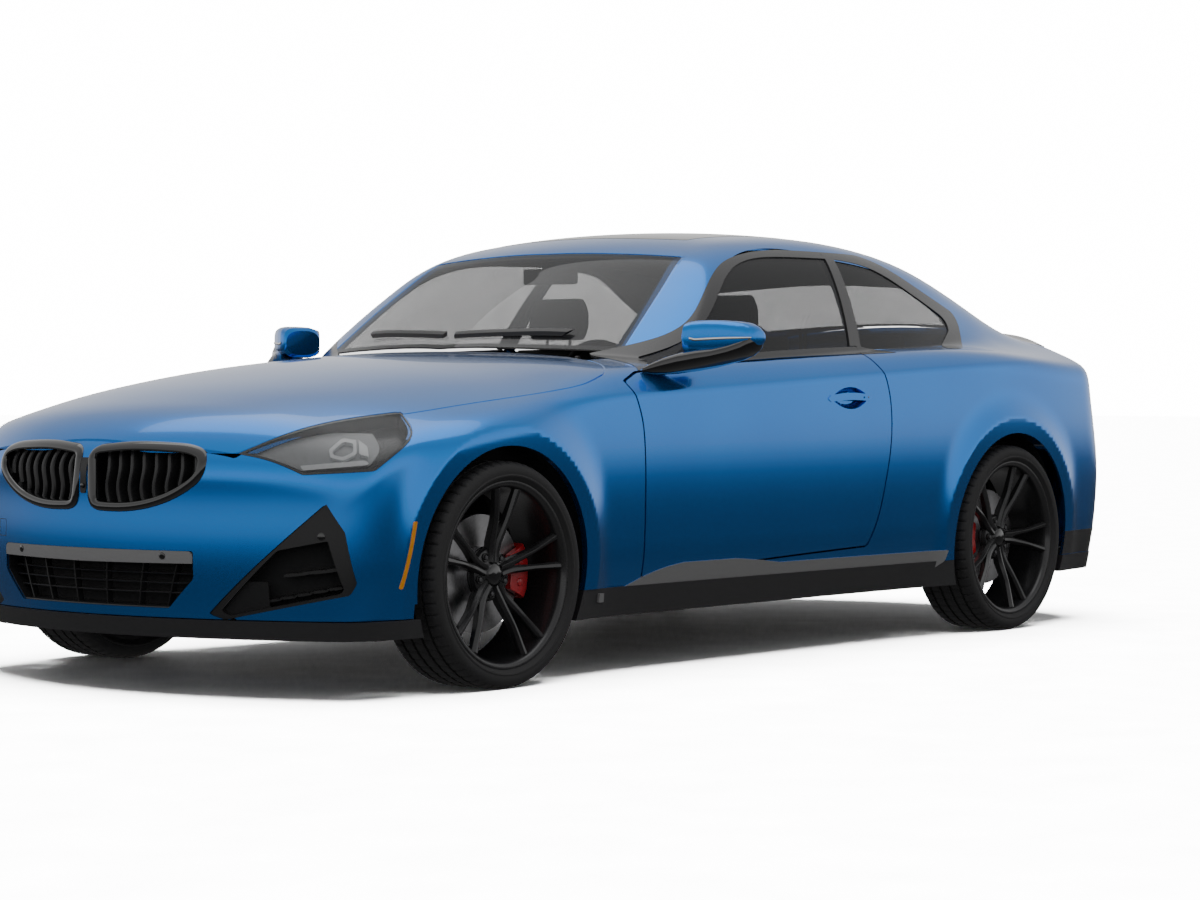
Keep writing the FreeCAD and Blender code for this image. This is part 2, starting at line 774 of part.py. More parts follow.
LID_PIVOT_X = RA + 530
LID_ARM_Y = 390.0
lid_skin = meet(whole_body, (LID_PIVOT_X, -LID_ARM_Y, 700.0), (0.0, 0.0, 1.0), 0.0)
LID_PIVOT = V(LID_PIVOT_X, 0, lid_skin.z - 16)
lid_pocket = box(LID_PIVOT.x - 16, LID_PIVOT.x + 60, -414, -366, LID_PIVOT.z - 90, LID_PIVOT.z + 12.5)


def side_spine(x):
    return 560.0


# The two body sides: sill, pillars, roof rail and rear quarter in one pressing each

SIDE_STATIONS = spread(FA + 560, RA - 694, 8) + spread(RA - 494, TAIL - 140, 8)


def belt(x):
    return 932 + (x - FA - 671) * 0.0345


def side_targets(x):
    wide = half_width(x)
    line = crease(x)
    hip = belt(x) + 8
    inner = cabin_width(x)
    return [(wide - 60, 190), (wide, 345), (wide, 600), (wide, 780), (wide - 4, line - 14),
            (wide - 8, line + 12), (inner + 10, hip + 14), (inner, hip + 34),
            (inner - 90, 1130), (inner - 160, 1250), (inner * 0.68, 1350),
            (inner * 0.44, 1390)]


side = patch(whole_body, section_rays(SIDE_STATIONS, side_targets, side_spine),
             size("side_thickness"))
front_limit = side_prism([
    [(FA - 100, 100), (FA + 662, 100)],
    [(FA + 662, 100), (FA + 662, 888)],
    [(FA + 662, 888), (FA + 575, 915)],
    [(FA + 575, 915), (FA + 575, 1500)],
    [(FA + 575, 1500), (FA - 100, 1500)],
    [(FA - 100, 1500), (FA - 100, 100)],
])
rear_limit = side_prism(widen(REAR_BUMPER_TOP, SEAL))
side = side.cut(box(NOSE, TAIL, -1500, 0, 0, SILL_Z))
for cutter in (front_limit, rear_limit, door_opening, side_prism(widen(WINDOW_RING, GAP)),
               side_prism(widen(QUARTER_RING, SEAL)), arch_rear, screen_opening,
               plan_prism(widen(ring_mirrored(ROOF_HALF), SEAL), 900.0),
               plan_prism(widen(ring_mirrored(REAR_WINDOW_HALF), SEAL), 900.0),
               trunk_opening, hood_opening, box(FA + 500, FA + 860, -640, 0, 800, 1300),
               rear_diagonal_prism(TAIL_LAMP_RING, SEAL), lid_pocket):
    side = side.cut(cutter)
side = largest(side)
sill_beam = box(FA + 520, RA - 372, -832, -720, 200, 284)
hinge_pillar = box(FA + 584, FA + 716, -785, -735, 280, 815)
front_post = box(FA + 520, FA + 586, -780, -700, 280, 870)
pads = [box(x - 35, x + 35, -772, -722, 172, 200) for x in (FA + 620, RA - 470)]
side = side.fuse([sill_beam, hinge_pillar, front_post] + pads)
node("body_sides", both(largest(side)))

# Doors: a thick shell with a thin leading edge that swings in behind the fender

door_stations = spread(FA + 560, RA - 720, 9)


def door_targets(x):
    wide = half_width(x)
    line = crease(x)
    return [(wide - 40, 250), (wide, 345), (wide, 460), (wide, 600), (wide, 760),
            (wide - 4, line - 14), (wide - 8, line + 12), (wide - 40, line + 56),
            (wide - 66, line + 96)]


door_rays = section_rays(door_stations, door_targets, side_spine)
door_block = patch(lower_body, door_rays, size("door_thickness"))
door_skin = patch(lower_body, door_rays, size("skin_thickness"))
door_front = box(FA + 500, HINGE_X + 30, -1200, 0, 0, 1200)
leaves = []
HINGE_HEIGHTS = (430.0, 690.0)
for z in HINGE_HEIGHTS:
    leaves.append(box(HINGE_X, HINGE_X + 40, HINGE_Y - 4, HINGE_Y + 4, z + 0.3, z + 30))
    leaves.append(Part.makeCylinder(6.5, 29.7, V(HINGE_X, HINGE_Y, z + 0.3)))
    leaves.append(Part.makeCylinder(3.0, 30.3, V(HINGE_X, HINGE_Y, z - 30)))
door_front = [door_front, box(RA - 856, RA - 720, -800, -560, 860, 950)]
door = door_block.common(door_outline).cut(door_front)
door = door.fuse([door_skin.common(door_outline)] + leaves)
handle_rays = section_rays(spread(FA + 1600, FA + 1900, 4), door_targets, side_spine)
recess = patch(lower_body, handle_rays, 26.0, -6.0).common(side_prism(HANDLE_RECESS_RING))
handle = patch(lower_body, handle_rays, 13.0, -7.0).common(side_prism(HANDLE_RING))
door = door.cut(recess).fuse(handle)
node("door_left", largest(door))
node("door_right", mirrored(largest(door)))
body_leaves = []
for z in HINGE_HEIGHTS:
    leaf = box(HINGE_X - 4, HINGE_X + 4, HINGE_Y, -785.1, z - 30, z)
    leaf = leaf.fuse(Part.makeCylinder(5.4, 30, V(HINGE_X, HINGE_Y, z - 30)))
    body_leaves.append(leaf.cut(Part.makeCylinder(3.3, 40, V(HINGE_X, HINGE_Y, z - 35))))
node("door_hinges", [s for leaf in body_leaves for s in both(leaf)])

window_stations = spread(FA + 640, RA - 10, 10)


def window_targets(x):
    inner = cabin_width(x)
    return [(inner + 12, 900), (inner + 4, 940), (inner - 25, 1030), (inner - 62, 1120),
            (inner - 100, 1200), (inner - 150, 1280), (inner - 180, 1340)]


def window_spine(x):
    return 900.0


glass_side = patch(cabin, section_rays(window_stations, window_targets, window_spine),
                   size("glass_thickness"), 4.0)
door_glass = glass_side.common(side_prism(WINDOW_RING)).cut(side_prism(widen(DOOR_RING, SEAL)))
node("door_window_left", largest(door_glass))
node("door_window_right", mirrored(largest(door_glass)))
quarter_glass = patch(whole_body, section_rays(SIDE_STATIONS, side_targets, side_spine),
                      size("glass_thickness"), 3.0)
node("quarter_windows", both(largest(quarter_glass.common(side_prism(QUARTER_RING)))))

# Door mirrors: a foot on the door's shoulder and a swept head


def mirror_head():
    outline = [
        [(FA + 850, -862), (FA + 862, -930), (FA + 905, -1000), (FA + 985, -1032)],
        [(FA + 985, -1032), (FA + 1062, -1034)],
        [(FA + 1062, -1034), (FA + 1048, -940), (FA + 1030, -858)],
        [(FA + 1030, -858), (FA + 850, -862)],
    ]
    head = ring_face(outline, lambda a, b: V(a, b, 962)).extrude(V(0, 0, 112))
    edges = [e for e in head.Edges if abs(e.BoundBox.ZMax - e.BoundBox.ZMin) < 1]
    head = head.makeFillet(24, edges)
    foot = ring_face([[(FA + 715, -805), (FA + 860, -925)], [(FA + 860, -925), (FA + 960, -925)],
                      [(FA + 960, -925), (FA + 860, -815)], [(FA + 860, -815), (FA + 715, -805)]],
                     lambda a, b: V(a, b, 905)).extrude(V(0, 0, 100))
    return head.fuse(foot)


mirror = mirror_head().cut(door_block).cut(glass_side)
node("door_mirror_left", largest(mirror))
node("door_mirror_right", mirrored(largest(mirror)))

# Lids and panels


def hood_targets(x):
    return [(810, 690), (800, 780), (740, 860), (640, 900), (480, 930), (320, 940),
            (160, 950), (0, 960), (-160, 950), (-320, 940), (-480, 930), (-640, 900),
            (-740, 860), (-800, 780), (-810, 690)]


def hood_spine(x):
    return 500.0


HOOD_FRONT_Z = 684.0
hood_stations = spread(NOSE + 40, FA + 720, 11)
hood = patch(lower_body, section_rays(hood_stations, hood_targets, hood_spine),
             size("hood_thickness")).common(hood_outline)
hood = hood.cut(box(NOSE - 50, NOSE + 300, -900, 900, 400, HOOD_FRONT_Z))
HOOD_PIVOT = V(FA + 740, 0, 955)
hood_arms = []
for y in (-528, 512):
    hood_arms.append(box(FA + 640, FA + 740, y, y + 16, 951.5, 959.5))
    hood_arms.append(cylinder_y(7, HOOD_PIVOT.x, HOOD_PIVOT.z, y, y + 16))
    hood_arms.append(cylinder_y(3, HOOD_PIVOT.x, HOOD_PIVOT.z, y - 20, y + 36))
node("hood", largest(hood.fuse(hood_arms)))


def roof_targets(x):
    return [(640, 1210), (600, 1260), (520, 1310), (400, 1350), (200, 1390), (0, 1400),
            (-200, 1390), (-400, 1350), (-520, 1310), (-600, 1260), (-640, 1210)]


def roof_spine(x):
    return 700.0


roof_rays = section_rays(spread(FA + 680, RA + 600, 13), roof_targets, roof_spine)
roof_patch = patch(whole_body, roof_rays, size("roof_thickness"))
screen_patch = patch(whole_body, roof_rays, size("glass_thickness"), 2.0)
roof_panel = largest(roof_patch.common(plan_prism(ring_mirrored(ROOF_HALF))))
windshield = largest(screen_patch.common(screen_outline))
node("roof_panel", roof_panel)
node("windshield", windshield)
node("rear_window", largest(screen_patch.common(plan_prism(ring_mirrored(REAR_WINDOW_HALF)))))

# Wipers lie on the windscreen; the interior mirror hangs under its top edge

WIPER_RING = [
    [(FA + 884, -588), (FA + 786, -300), (FA + 738, -24)],
    [(FA + 738, -24), (FA + 754, -20)],
    [(FA + 754, -20), (FA + 803, -297), (FA + 901, -580)],
    [(FA + 901, -580), (FA + 884, -588)],
]
wiper = patch(whole_body, roof_rays, 13.6, -12.0).common(plan_prism(WIPER_RING, 700.0))
node("wipers", both(largest(wiper)))
stem = box(FA + 1216, FA + 1246, -7, 7, 1240, 1300)
stem = stem.cut(patch(whole_body, roof_rays, 50.0, -42.6))
mirror_glass = box(FA + 1240, FA + 1262, -115, 115, 1208, 1262)
mirror_glass = mirror_glass.makeFillet(9, mirror_glass.Edges)
stem = stem.fuse(mirror_glass).cut([roof_panel, windshield])
node("interior_mirror", largest(stem))



def side_bar(start, end, y0, y1, thick):
    """A flat bar between two points of the side view."""
    way = (end - start).normalize()
    rise = V(-way.z, 0, way.x) * (thick / 2)
    corners = [start + rise, end + rise, end - rise, start - rise]
    wire = Part.makePolygon([V(p.x, y0, p.z) for p in corners + corners[:1]])
    return Part.Face(wire).extrude(V(0, y1 - y0, 0))


LID_ELBOW = LID_PIVOT + V(15, 0, -26)
deck_stations = spread(-680, 680, 9)
deck_patch_rays = deck_rays(RA + 480, 720.0, deck_stations,
                            [96, 84, 72, 62, 52, 44, 38, 34, 30, 26, 20, 12, 4, -4, -8])
trunk_outline.translate(V(6, 0, 0))
trunk = patch(whole_body, deck_patch_rays, 30.0).common(trunk_outline)
trunk = trunk.cut(box(RA + 400, TAIL + 100, -900, 900, 500, 668))
trunk = trunk.cut(side_prism(widen(REAR_BUMPER_TOP, GAP), -1200.0, 1200.0))
lid_lamp_opening = front_prism(widen(LID_LAMP_RING, SEAL), RA + 300, TAIL + 100)
trunk = trunk.cut(both(lid_lamp_opening))
lid_arms = []
for y in (-LID_ARM_Y - 6, LID_ARM_Y - 6):
    lid_arms.append(side_bar(LID_PIVOT, LID_ELBOW, y, y + 12, 8.0))
    lid_arms.append(side_bar(LID_ELBOW, LID_ELBOW + V(52, 0, 12), y, y + 12, 8.0))
    lid_arms.append(cylinder_y(4, LID_ELBOW.x, LID_ELBOW.z, y, y + 12))
    lid_arms.append(cylinder_y(5, LID_PIVOT.x, LID_PIVOT.z, y, y + 12))
    lid_arms.append(cylinder_y(2.5, LID_PIVOT.x, LID_PIVOT.z, y - 10, y + 22))
trunk = largest(trunk.fuse(lid_arms)).cut(box(TAIL - 170.3, TAIL - 169.7, -700, 700, 600, 1100))
node("trunk_lid", trunk)
lid_lamp = patch(whole_body, deck_patch_rays, 26.0, 0.5)
lid_lamp = lid_lamp.common(front_prism(LID_LAMP_RING, RA + 300, TAIL + 100))
node("lid_lamps", both(largest(lid_lamp)))


def lip_body(x, w, z):
    """The form with a lip that rises towards the lid's rear edge."""
    rise = 26 * ease((x - TAIL + 330) / 190) * (1 - ease((w - 520) / 100))
    return whole_body(x, w, z) - rise


LIP_RING = [
    [(TAIL - 322, 0), (TAIL - 326, -300), (TAIL - 338, -560)],
    [(TAIL - 338, -560), (TAIL - 240, -590)],
    [(TAIL - 240, -590), (TAIL - 166, -300), (TAIL - 146, 0)],
]
lip_rays = deck_rays(RA + 480, 720.0, spread(-640, 640, 9), [62, 56, 50, 45, 40, 36, 32, 28, 24])
lip = patch(lip_body, lip_rays, 60.0).common(plan_prism(ring_mirrored(LIP_RING), 980.0))
lip = lip.cut([patch(whole_body, lip_rays, 120.0, -0.4), trunk])
node("spoiler", largest(lip))

# Front fenders and the bumper covers are thin skins


def fender_targets(x):
    wide = half_width(x)
    line = crease(x)
    return [(wide - 40, 200), (wide - 12, 280), (wide, 345), (wide, 430), (wide, 520),
            (wide, 600), (wide, 690), (wide, 760), (wide - 4, line - 14), (wide - 8, line + 12),
            (wide - 50, line + 50), (wide - 130, line + 90)]


fender_stations = spread(FA - 500, FA + 680, 13)
fender = patch(lower_body, section_rays(fender_stations, fender_targets, side_spine),
               size("skin_thickness"))
fender = fender.cut(box(NOSE, TAIL, -1500, 0, 0, SILL_Z))
fender_rear = side_prism([
    [(FA + 900, 100), (FA + 662 - SEAL, 100)],
    [(FA + 662 - SEAL, 100), (FA + 662 - SEAL, 888)],
    [(FA + 662 - SEAL, 888), (FA + 575 - SEAL, 915)],
    [(FA + 575 - SEAL, 915), (FA + 575 - SEAL, 1500)],
    [(FA + 575 - SEAL, 1500), (FA + 900, 1500)],
    [(FA + 900, 1500), (FA + 900, 100)],
])
lamp_opening = diagonal_prism(LAMP_RING, SEAL)
for cutter in (fender_rear, door_opening, hood_opening, arch_front,
               side_prism(widen(BUMPER_RING, SEAL)), lamp_opening):
    fender = fender.cut(cutter)
node("front_fenders", both(largest(fender)))

bumper_heights = [166, 200, 240, 290, 350, 420, 500, 580, 650, 700, 730, 755, 780]
bumper_turns = spread(-82, 82, 21)
front_skin = patch(lower_body, fan_rays(FA - 40, bumper_turns, bumper_heights),
                   size("bumper_thickness"))
bumper_zone = side_prism(BUMPER_RING, -1200.0, 1200.0)
bumper = front_skin.common(bumper_zone).cut(hood_opening)
bumper = bumper.cut(box(NOSE - 100, FA, -1200, 1200, 0, 224))
kidney = front_prism(KIDNEY_RING, NOSE - 200, NOSE + 260)
side_intake = front_prism(SIDE_INTAKE_RING, NOSE - 200, NOSE + 420)
intake = front_prism(front_mirrored(INTAKE_HALF), NOSE - 200, NOSE + 260)
for cutter in both(kidney) + both(side_intake) + [intake] + both(lamp_opening):
    bumper = bumper.cut(cutter)
bumper = bumper.cut([arch_front, mirrored(arch_front)])
node("front_bumper", largest(bumper))

lamp_patch = patch(lower_body, fan_rays(FA - 40, spread(10, 80, 12),
                                        [600, 640, 680, 710, 740, 765, 790, 815]), 70.0, 3.0)
lamp = lamp_patch.common(diagonal_prism(LAMP_RING)).cut(hood_opening)
node("headlamps", both(largest(lamp)))

# Upper grilles: a frame in each opening, upright slats and a back plate; lower grilles

frame_patch = patch(lower_body, fan_rays(FA - 40, spread(-2, 36, 9),
                                         [490, 530, 580, 630, 680, 730]), 40.0, -5.0)
slat_patch = patch(lower_body, fan_rays(FA - 40, spread(-2, 36, 9),
                                        [490, 530, 580, 630, 680, 730]), 34.0, 14.0)
kidney_inside = front_prism(widen(KIDNEY_RING, -20.0), NOSE - 200, NOSE + 300)
frame = frame_patch.common(front_prism(widen(KIDNEY_RING, -0.5), NOSE - 200, NOSE + 300))
frame = frame.cut(kidney_inside)
slats = [box(NOSE - 100, NOSE + 300, -62 - 48 * k, -52 - 48 * k, 500, 740) for k in range(8)]
slats.append(box(NOSE - 100, NOSE + 300, -460, 0, 622, 630))
slats = [slat_patch.common(kidney_inside).common(slats[0].multiFuse(slats[1:]))]
grille_limit = plan_prism(widen(ring_mirrored(HOOD_HALF), GAP), 676.0)
grille = frame.fuse(slats).cut(grille_limit)
node("upper_grilles", both(largest(grille)))

grid_patch = patch(lower_body, fan_rays(FA - 40, spread(-34, 34, 13),
                                        [225, 260, 300, 340, 380, 430]), 12.0, 9.3)
grid_zone = front_prism(widen(front_mirrored(INTAKE_HALF), -0.5), NOSE - 200, NOSE + 260)
inner_ring = widen(front_mirrored(INTAKE_HALF), -9.0)
holes = ring_face(inner_ring, lambda a, b: V(NOSE - 150, a, b)).extrude(V(400, 0, 0))
bars = [box(NOSE - 160, NOSE + 260, -500, 500, z, z + 7) for z in (296, 345)]
bars += [box(NOSE - 160, NOSE + 260, y - 4, y + 4, 200, 500) for y in (-240, -84, 84, 240)]
grid = grid_patch.common(grid_zone).cut(holes.cut(bars))
insert_patch = patch(lower_body, fan_rays(FA - 40, spread(20, 82, 13),
                                          [190, 230, 290, 350, 420, 500, 570]), 9.0, 9.3)
insert = insert_patch.common(front_prism(widen(SIDE_INTAKE_RING, -0.5), NOSE - 200, NOSE + 420))
node("lower_grilles", [largest(grid)] + both(largest(insert)))

# Rear bumper and tail lamps

rear_turns = spread(100, 260, 21)
rear_skin = patch(lower_body, fan_rays(RA + 60, rear_turns,
                                       [200, 240, 290, 360, 440, 520, 600, 660, 710, 750, 800]),
                  size("bumper_thickness"))
rear_zone = side_prism(REAR_BUMPER_TOP, -1200.0, 1200.0)
rear_bumper = rear_skin.common(rear_zone).cut([arch_rear, mirrored(arch_rear)])
rear_bumper = rear_bumper.cut(box(RA, TAIL + 100, -1200, 1200, 0, 250))
pipe_opening = cylinder_x(43, TAIL - 260, TAIL + 100, -PIPE_Y, PIPE_Z)
rear_bumper = rear_bumper.cut(both(pipe_opening))
node("rear_bumper", largest(rear_bumper))
tail_lamp = patch(whole_body, fan_rays(RA + 60, spread(100, 172, 12),
                                       [730, 770, 810, 850, 890, 930]), 60.0)
tail_lamp = tail_lamp.common(rear_diagonal_prism(TAIL_LAMP_RING)).cut(trunk_opening)
node("tail_lamps", both(largest(tail_lamp)))

# Lower trim: a splitter, a skirt under each door and a diffuser

splitter = patch(lower_body, fan_rays(FA - 40, bumper_turns, [150, 175, 200, 225, 245]), 70.0, -8.0)
splitter = splitter.common(box(NOSE - 100, FA, -1200, 1200, 168, 221.0))
splitter = splitter.cut([arch_front, mirrored(arch_front)])


def skirt_targets(x):
    return [(SILL - 40, 150), (SILL - 30, 200), (SILL - 20, 245), (SILL - 10, 290)]


skirt = patch(lower_body, section_rays(spread(FA + 300, RA - 300, 9), skirt_targets, side_spine),
              60.0, -6.0)
skirt = skirt.common(box(FA, RA, -1200, 0, 175, SILL_Z - SEAL)).cut([arch_front, arch_rear])
skirt = skirt.cut(box(FA + 519.6, RA - 371.6, -832.4, -700, 199.6, 284))
diffuser = patch(lower_body, fan_rays(RA + 60, rear_turns, [175, 200, 225, 250, 265]), 50.0, -6.0)
diffuser = diffuser.common(box(RA, TAIL + 100, -1200, 1200, 190, 249.5))
diffuser = diffuser.cut([arch_rear, mirrored(arch_rear)] + both(pipe_opening))
node("lower_trim", [largest(splitter)] + both(largest(skirt)) + [largest(diffuser)])

# Wheels: a tyre, a rim with five pairs of spokes, and a brake disc

RIM = "Sizes.rim_radius"
SEAT = "(Sizes.rim_radius - 14 - Sizes.running_gap)"
BARREL = "(Sizes.rim_radius - 14 - Sizes.running_gap - Sizes.rim_wall)"
HALF = "Sizes.tyre_width / 2"
TREAD = "Sizes.tyre_radius"
HUB = "Sizes.hub_radius"
TYRE_PROFILE = [
    ("-" + HALF + " + 16", RIM + " - 14"), ("-" + HALF + " + 16", RIM + " + 4"),
    ("-" + HALF, RIM + " + 22"), ("-" + HALF + " + 17", TREAD), (HALF + " - 17", TREAD),
    (HALF, RIM + " + 22"), (HALF + " - 16", RIM + " + 4"), (HALF + " - 16", RIM + " - 14"),
]
RIM_PROFILE = [
    ("-" + HALF + " + 15", BARREL), ("-" + HALF + " + 15", SEAT), (HALF + " - 15.7", SEAT),
    (HALF + " - 15.7", RIM), (HALF + " - 11", RIM), (HALF + " - 11", SEAT + " - 8"),
    (HALF + " - 22", SEAT + " - 12"), ("54", HUB + " + 18"), ("44", HUB + " + 2"),
    ("44", "33.3"), ("14", "33.3"), ("14", HUB + " + 2"), ("26", HUB + " + 18"),
    ("58", BARREL + " - 6"), ("50", BARREL),
]
SPOKE_GAP = [
    (RIM + " * -0.018", RIM + " * 0.45"), (RIM + " * 0.018", RIM + " * 0.45"),
    (RIM + " * 0.080", RIM + " * 0.872"), (RIM + " * -0.080", RIM + " * 0.872"),
]


def wide_window():
    """The opening between two pairs of spokes, as shares of the rim's radius."""
    corners = []
    for turn, lateral, out in ((0, 0.100, 0.37), (0, 0.165, 0.845), (72, -0.165, 0.845),
                               (72, -0.100, 0.37)):
        angle = math.radians(turn)
        across = lateral * math.cos(angle) + out * math.sin(angle)
        up = out * math.cos(angle) - lateral * math.sin(angle)
        corners.append((RIM + " * %.5f" % across, RIM + " * %.5f" % up))
    middle = math.radians(36)
    corners.insert(2, (RIM + " * %.5f" % (0.885 * math.sin(middle)),
                       RIM + " * %.5f" % (0.885 * math.cos(middle))))
    return corners


def disc_profile(radius):
    return [("13.7", "40"), ("13.7", "80"), ("-8", "80"), ("-8", radius),
            ("-8 - Sizes.disc_thickness", radius), ("-8 - Sizes.disc_thickness", "72"),
            ("5", "72"), ("5", "40")]


OUTWARD = {
    "left": FreeCAD.Rotation(V(0, -1, 0), V(0, 0, 1), V(-1, 0, 0), "XYZ"),
    "right": FreeCAD.Rotation(V(0, 1, 0), V(0, 0, 1), V(1, 0, 0), "XYZ"),
}
SIGN = {"left": "-", "right": ""}
WHEEL_TURN = {"front_left": -4.5, "front_right": 4.5, "rear_left": -20.0, "rear_right": 20.0}
for place in ("front", "rear"):
    for hand in ("left", "right"):
        end = "_%s_%s" % (place, hand)
        centre = ("Sizes.%s_axle_x" % place, "%sSizes.%s_track / 2" % (SIGN[hand], place),
                  "Sizes.axle_height")
        tyre = turned_body("tyre" + end, TYRE_PROFILE)
        wheel = turned_body("rim" + end, RIM_PROFILE)
        cut_windows(wheel, "spoke_gap" + end, SPOKE_GAP, 5)
        cut_windows(wheel, "window" + end, wide_window(), 5)
        bolt_holes(wheel, "bolt_hole" + end, 5)
        reach = "Sizes.disc_radius" if place == "front" else "Sizes.disc_radius - 4"
        disc = turned_body("brake_disc" + end, disc_profile(reach))
        for body, label in ((tyre, "tyre"), (wheel, "rim"), (disc, "brake_disc")):
            turned = OUTWARD[hand].multiply(FreeCAD.Rotation(V(1, 0, 0), WHEEL_TURN[end[1:]]))
            keep(place_body(body, centre, turned), label + end)

# Calipers straddle the discs; the pads' slot leaves the disc free to turn

AXLE_H = "Sizes.axle_height"
ACROSS = FreeCAD.Rotation(V(0, 0, 1), V(0, 1, 0))
LENGTHWISE = FreeCAD.Rotation(V(0, 0, 1), V(1, 0, 0))


def span(hand, inner, outer):
    """The two ends, lower first, of a stretch between two distances from the centre plane."""
    if hand == "left":
        return "-(%s)" % outer, "-(%s)" % inner
    return inner, outer


def cross_rod(name, radius, hand, inner, outer, x, z):
    low, high = span(hand, inner, outer)
    return rod(name, radius, "(%s) - (%s)" % (high, low), x, low, z, ACROSS)


def less(name, base, tool):
    feature = doc.addObject("Part::Cut", name)
    feature.Base = base
    feature.Tool = tool
    return feature


def grouped(name, pieces):
    feature = doc.addObject("Part::Compound", name)
    feature.Links = pieces
    return feature


def reach_x(place, near, far):
    """Stretches behind the front axle and ahead of the rear one."""
    axle = "Sizes.%s_axle_x" % place
    if place == "front":
        return "%s + %s" % (axle, near), "%s + %s" % (axle, far)
    return "%s - (%s)" % (axle, far), "%s - (%s)" % (axle, near)


def caliper(place, hand):
    end = "_%s_%s" % (place, hand)
    half = "Sizes.%s_track / 2" % place
    x0, x1 = reach_x(place, "Sizes.disc_radius - 62", "Sizes.disc_radius + 16")
    y0, y1 = span(hand, half + " - 69", half + " + 21")
    low = AXLE_H + " - 75"
    high = AXLE_H + " + 75"
    solid = block("jaw_block" + end, x0, x1, y0, y1, low, high)
    curve_rod = cross_rod("jaw_round" + end, "Sizes.disc_radius + 26", hand, half + " - 80",
                          half + " + 40", "Sizes.%s_axle_x" % place, AXLE_H)
    jaw = doc.addObject("Part::MultiCommon", "jaw" + end)
    jaw.Shapes = [solid, curve_rod]
    s0, s1 = reach_x(place, "0", "Sizes.disc_radius + 6")
    t0, t1 = span(hand, half + " - 13 - Sizes.disc_thickness", half + " - 3")
    slot = block("jaw_slot" + end, s0, s1, t0, t1, low + " - 10", high + " + 10")
    h0, h1 = reach_x(place, "46.4", "130")
    g0, g1 = span(hand, half + " - 72", half + " - 43")
    holder = block("jaw_holder" + end, h0, h1, g0, g1, AXLE_H + " - 40", AXLE_H + " + 40")
    return fused("caliper_body" + end, [less("jaw_open" + end, jaw, slot), holder])


# Steering knuckles turn about a leaning axis through the lower ball joint and the strut

LEAN_Y = size("strut_top_y") - size("ball_joint_y")
LEAN_Z = size("strut_top_z") - size("ball_joint_z")
TILT = {"left": FreeCAD.Rotation(V(0, 0, 1), V(0, -LEAN_Y, LEAN_Z)),
        "right": FreeCAD.Rotation(V(0, 0, 1), V(0, LEAN_Y, LEAN_Z))}


def axis_rod(name, radius, hand, low, high):
    """A bar on the steering axis between two heights."""
    lean = "(Sizes.strut_top_y - Sizes.ball_joint_y) / (Sizes.strut_top_z - Sizes.ball_joint_z)"
    y = "%s(Sizes.ball_joint_y + (%s - Sizes.ball_joint_z) * %s)" % (SIGN[hand], low, lean)
    length = "(%s - %s) * sqrt(1 + (%s) * (%s))" % (high, low, lean, lean)
    return rod(name, radius, length, "Sizes.front_axle_x", y, low, TILT[hand])


TRACK_F = "Sizes.front_track / 2"
TRACK_R = "Sizes.rear_track / 2"
FRONT_X = "Sizes.front_axle_x"
REAR_X = "Sizes.rear_axle_x"
struts = []
arms = []
for hand in ("left", "right"):
    hub = cross_rod("knuckle_hub_" + hand, "46", hand, "690", TRACK_F + " - 37", FRONT_X, AXLE_H)
    spindle = cross_rod("spindle_" + hand, "33", hand, TRACK_F + " - 38", TRACK_F + " + 43",
                        FRONT_X, AXLE_H)
    collar = axis_rod("strut_collar_" + hand, "40", hand, "352", "420")
    foot = axis_rod("knuckle_foot_" + hand, "22", hand, "232", "353")
    bore = axis_rod("strut_bore_" + hand, "26.4", hand, "380", "460")
    solid = fused("knuckle_solid_" + hand, [hub, spindle, collar, foot])
    keep(less("front_knuckle_" + hand, solid, bore), "front_knuckle_" + hand)
    keep(caliper("front", hand), "front_caliper_" + hand)
    tube = axis_rod("strut_tube_" + hand, "26", hand, "384", "797")
    spring = axis_rod("strut_spring_" + hand, "56", hand, "662", "792")
    struts.append(fused("strut_" + hand, [tube, spring]))
    low, high = span(hand, "345", "724")
    arms.append(block("lower_arm_" + hand, FRONT_X + " - 28", FRONT_X + " + 28", low, high,
                      "200", "224"))
    arms.append(axis_rod("ball_pin_" + hand, "20", hand, "222", "231.5"))
    low, high = span(hand, "250", "340")
    arms.append(block("subframe_leg_" + hand, FRONT_X + " + 120", FRONT_X + " + 515", low, high,
                      "196", "232"))
keep(grouped("front_struts", struts), "front_struts")
arms.append(block("crossmember", FRONT_X + " - 60", FRONT_X + " + 130", "-360", "360", "190", "236"))
keep(fused("front_subframe", arms), "front_subframe")
keep(block("engine_block", FRONT_X + " - 260", FRONT_X + " - 260 + Sizes.engine_length",
           "-Sizes.engine_width / 2", "Sizes.engine_width / 2", "236.5", "770"), "engine_block")

# Rear axle: final drive, drive shafts, links and hub carriers on one cradle

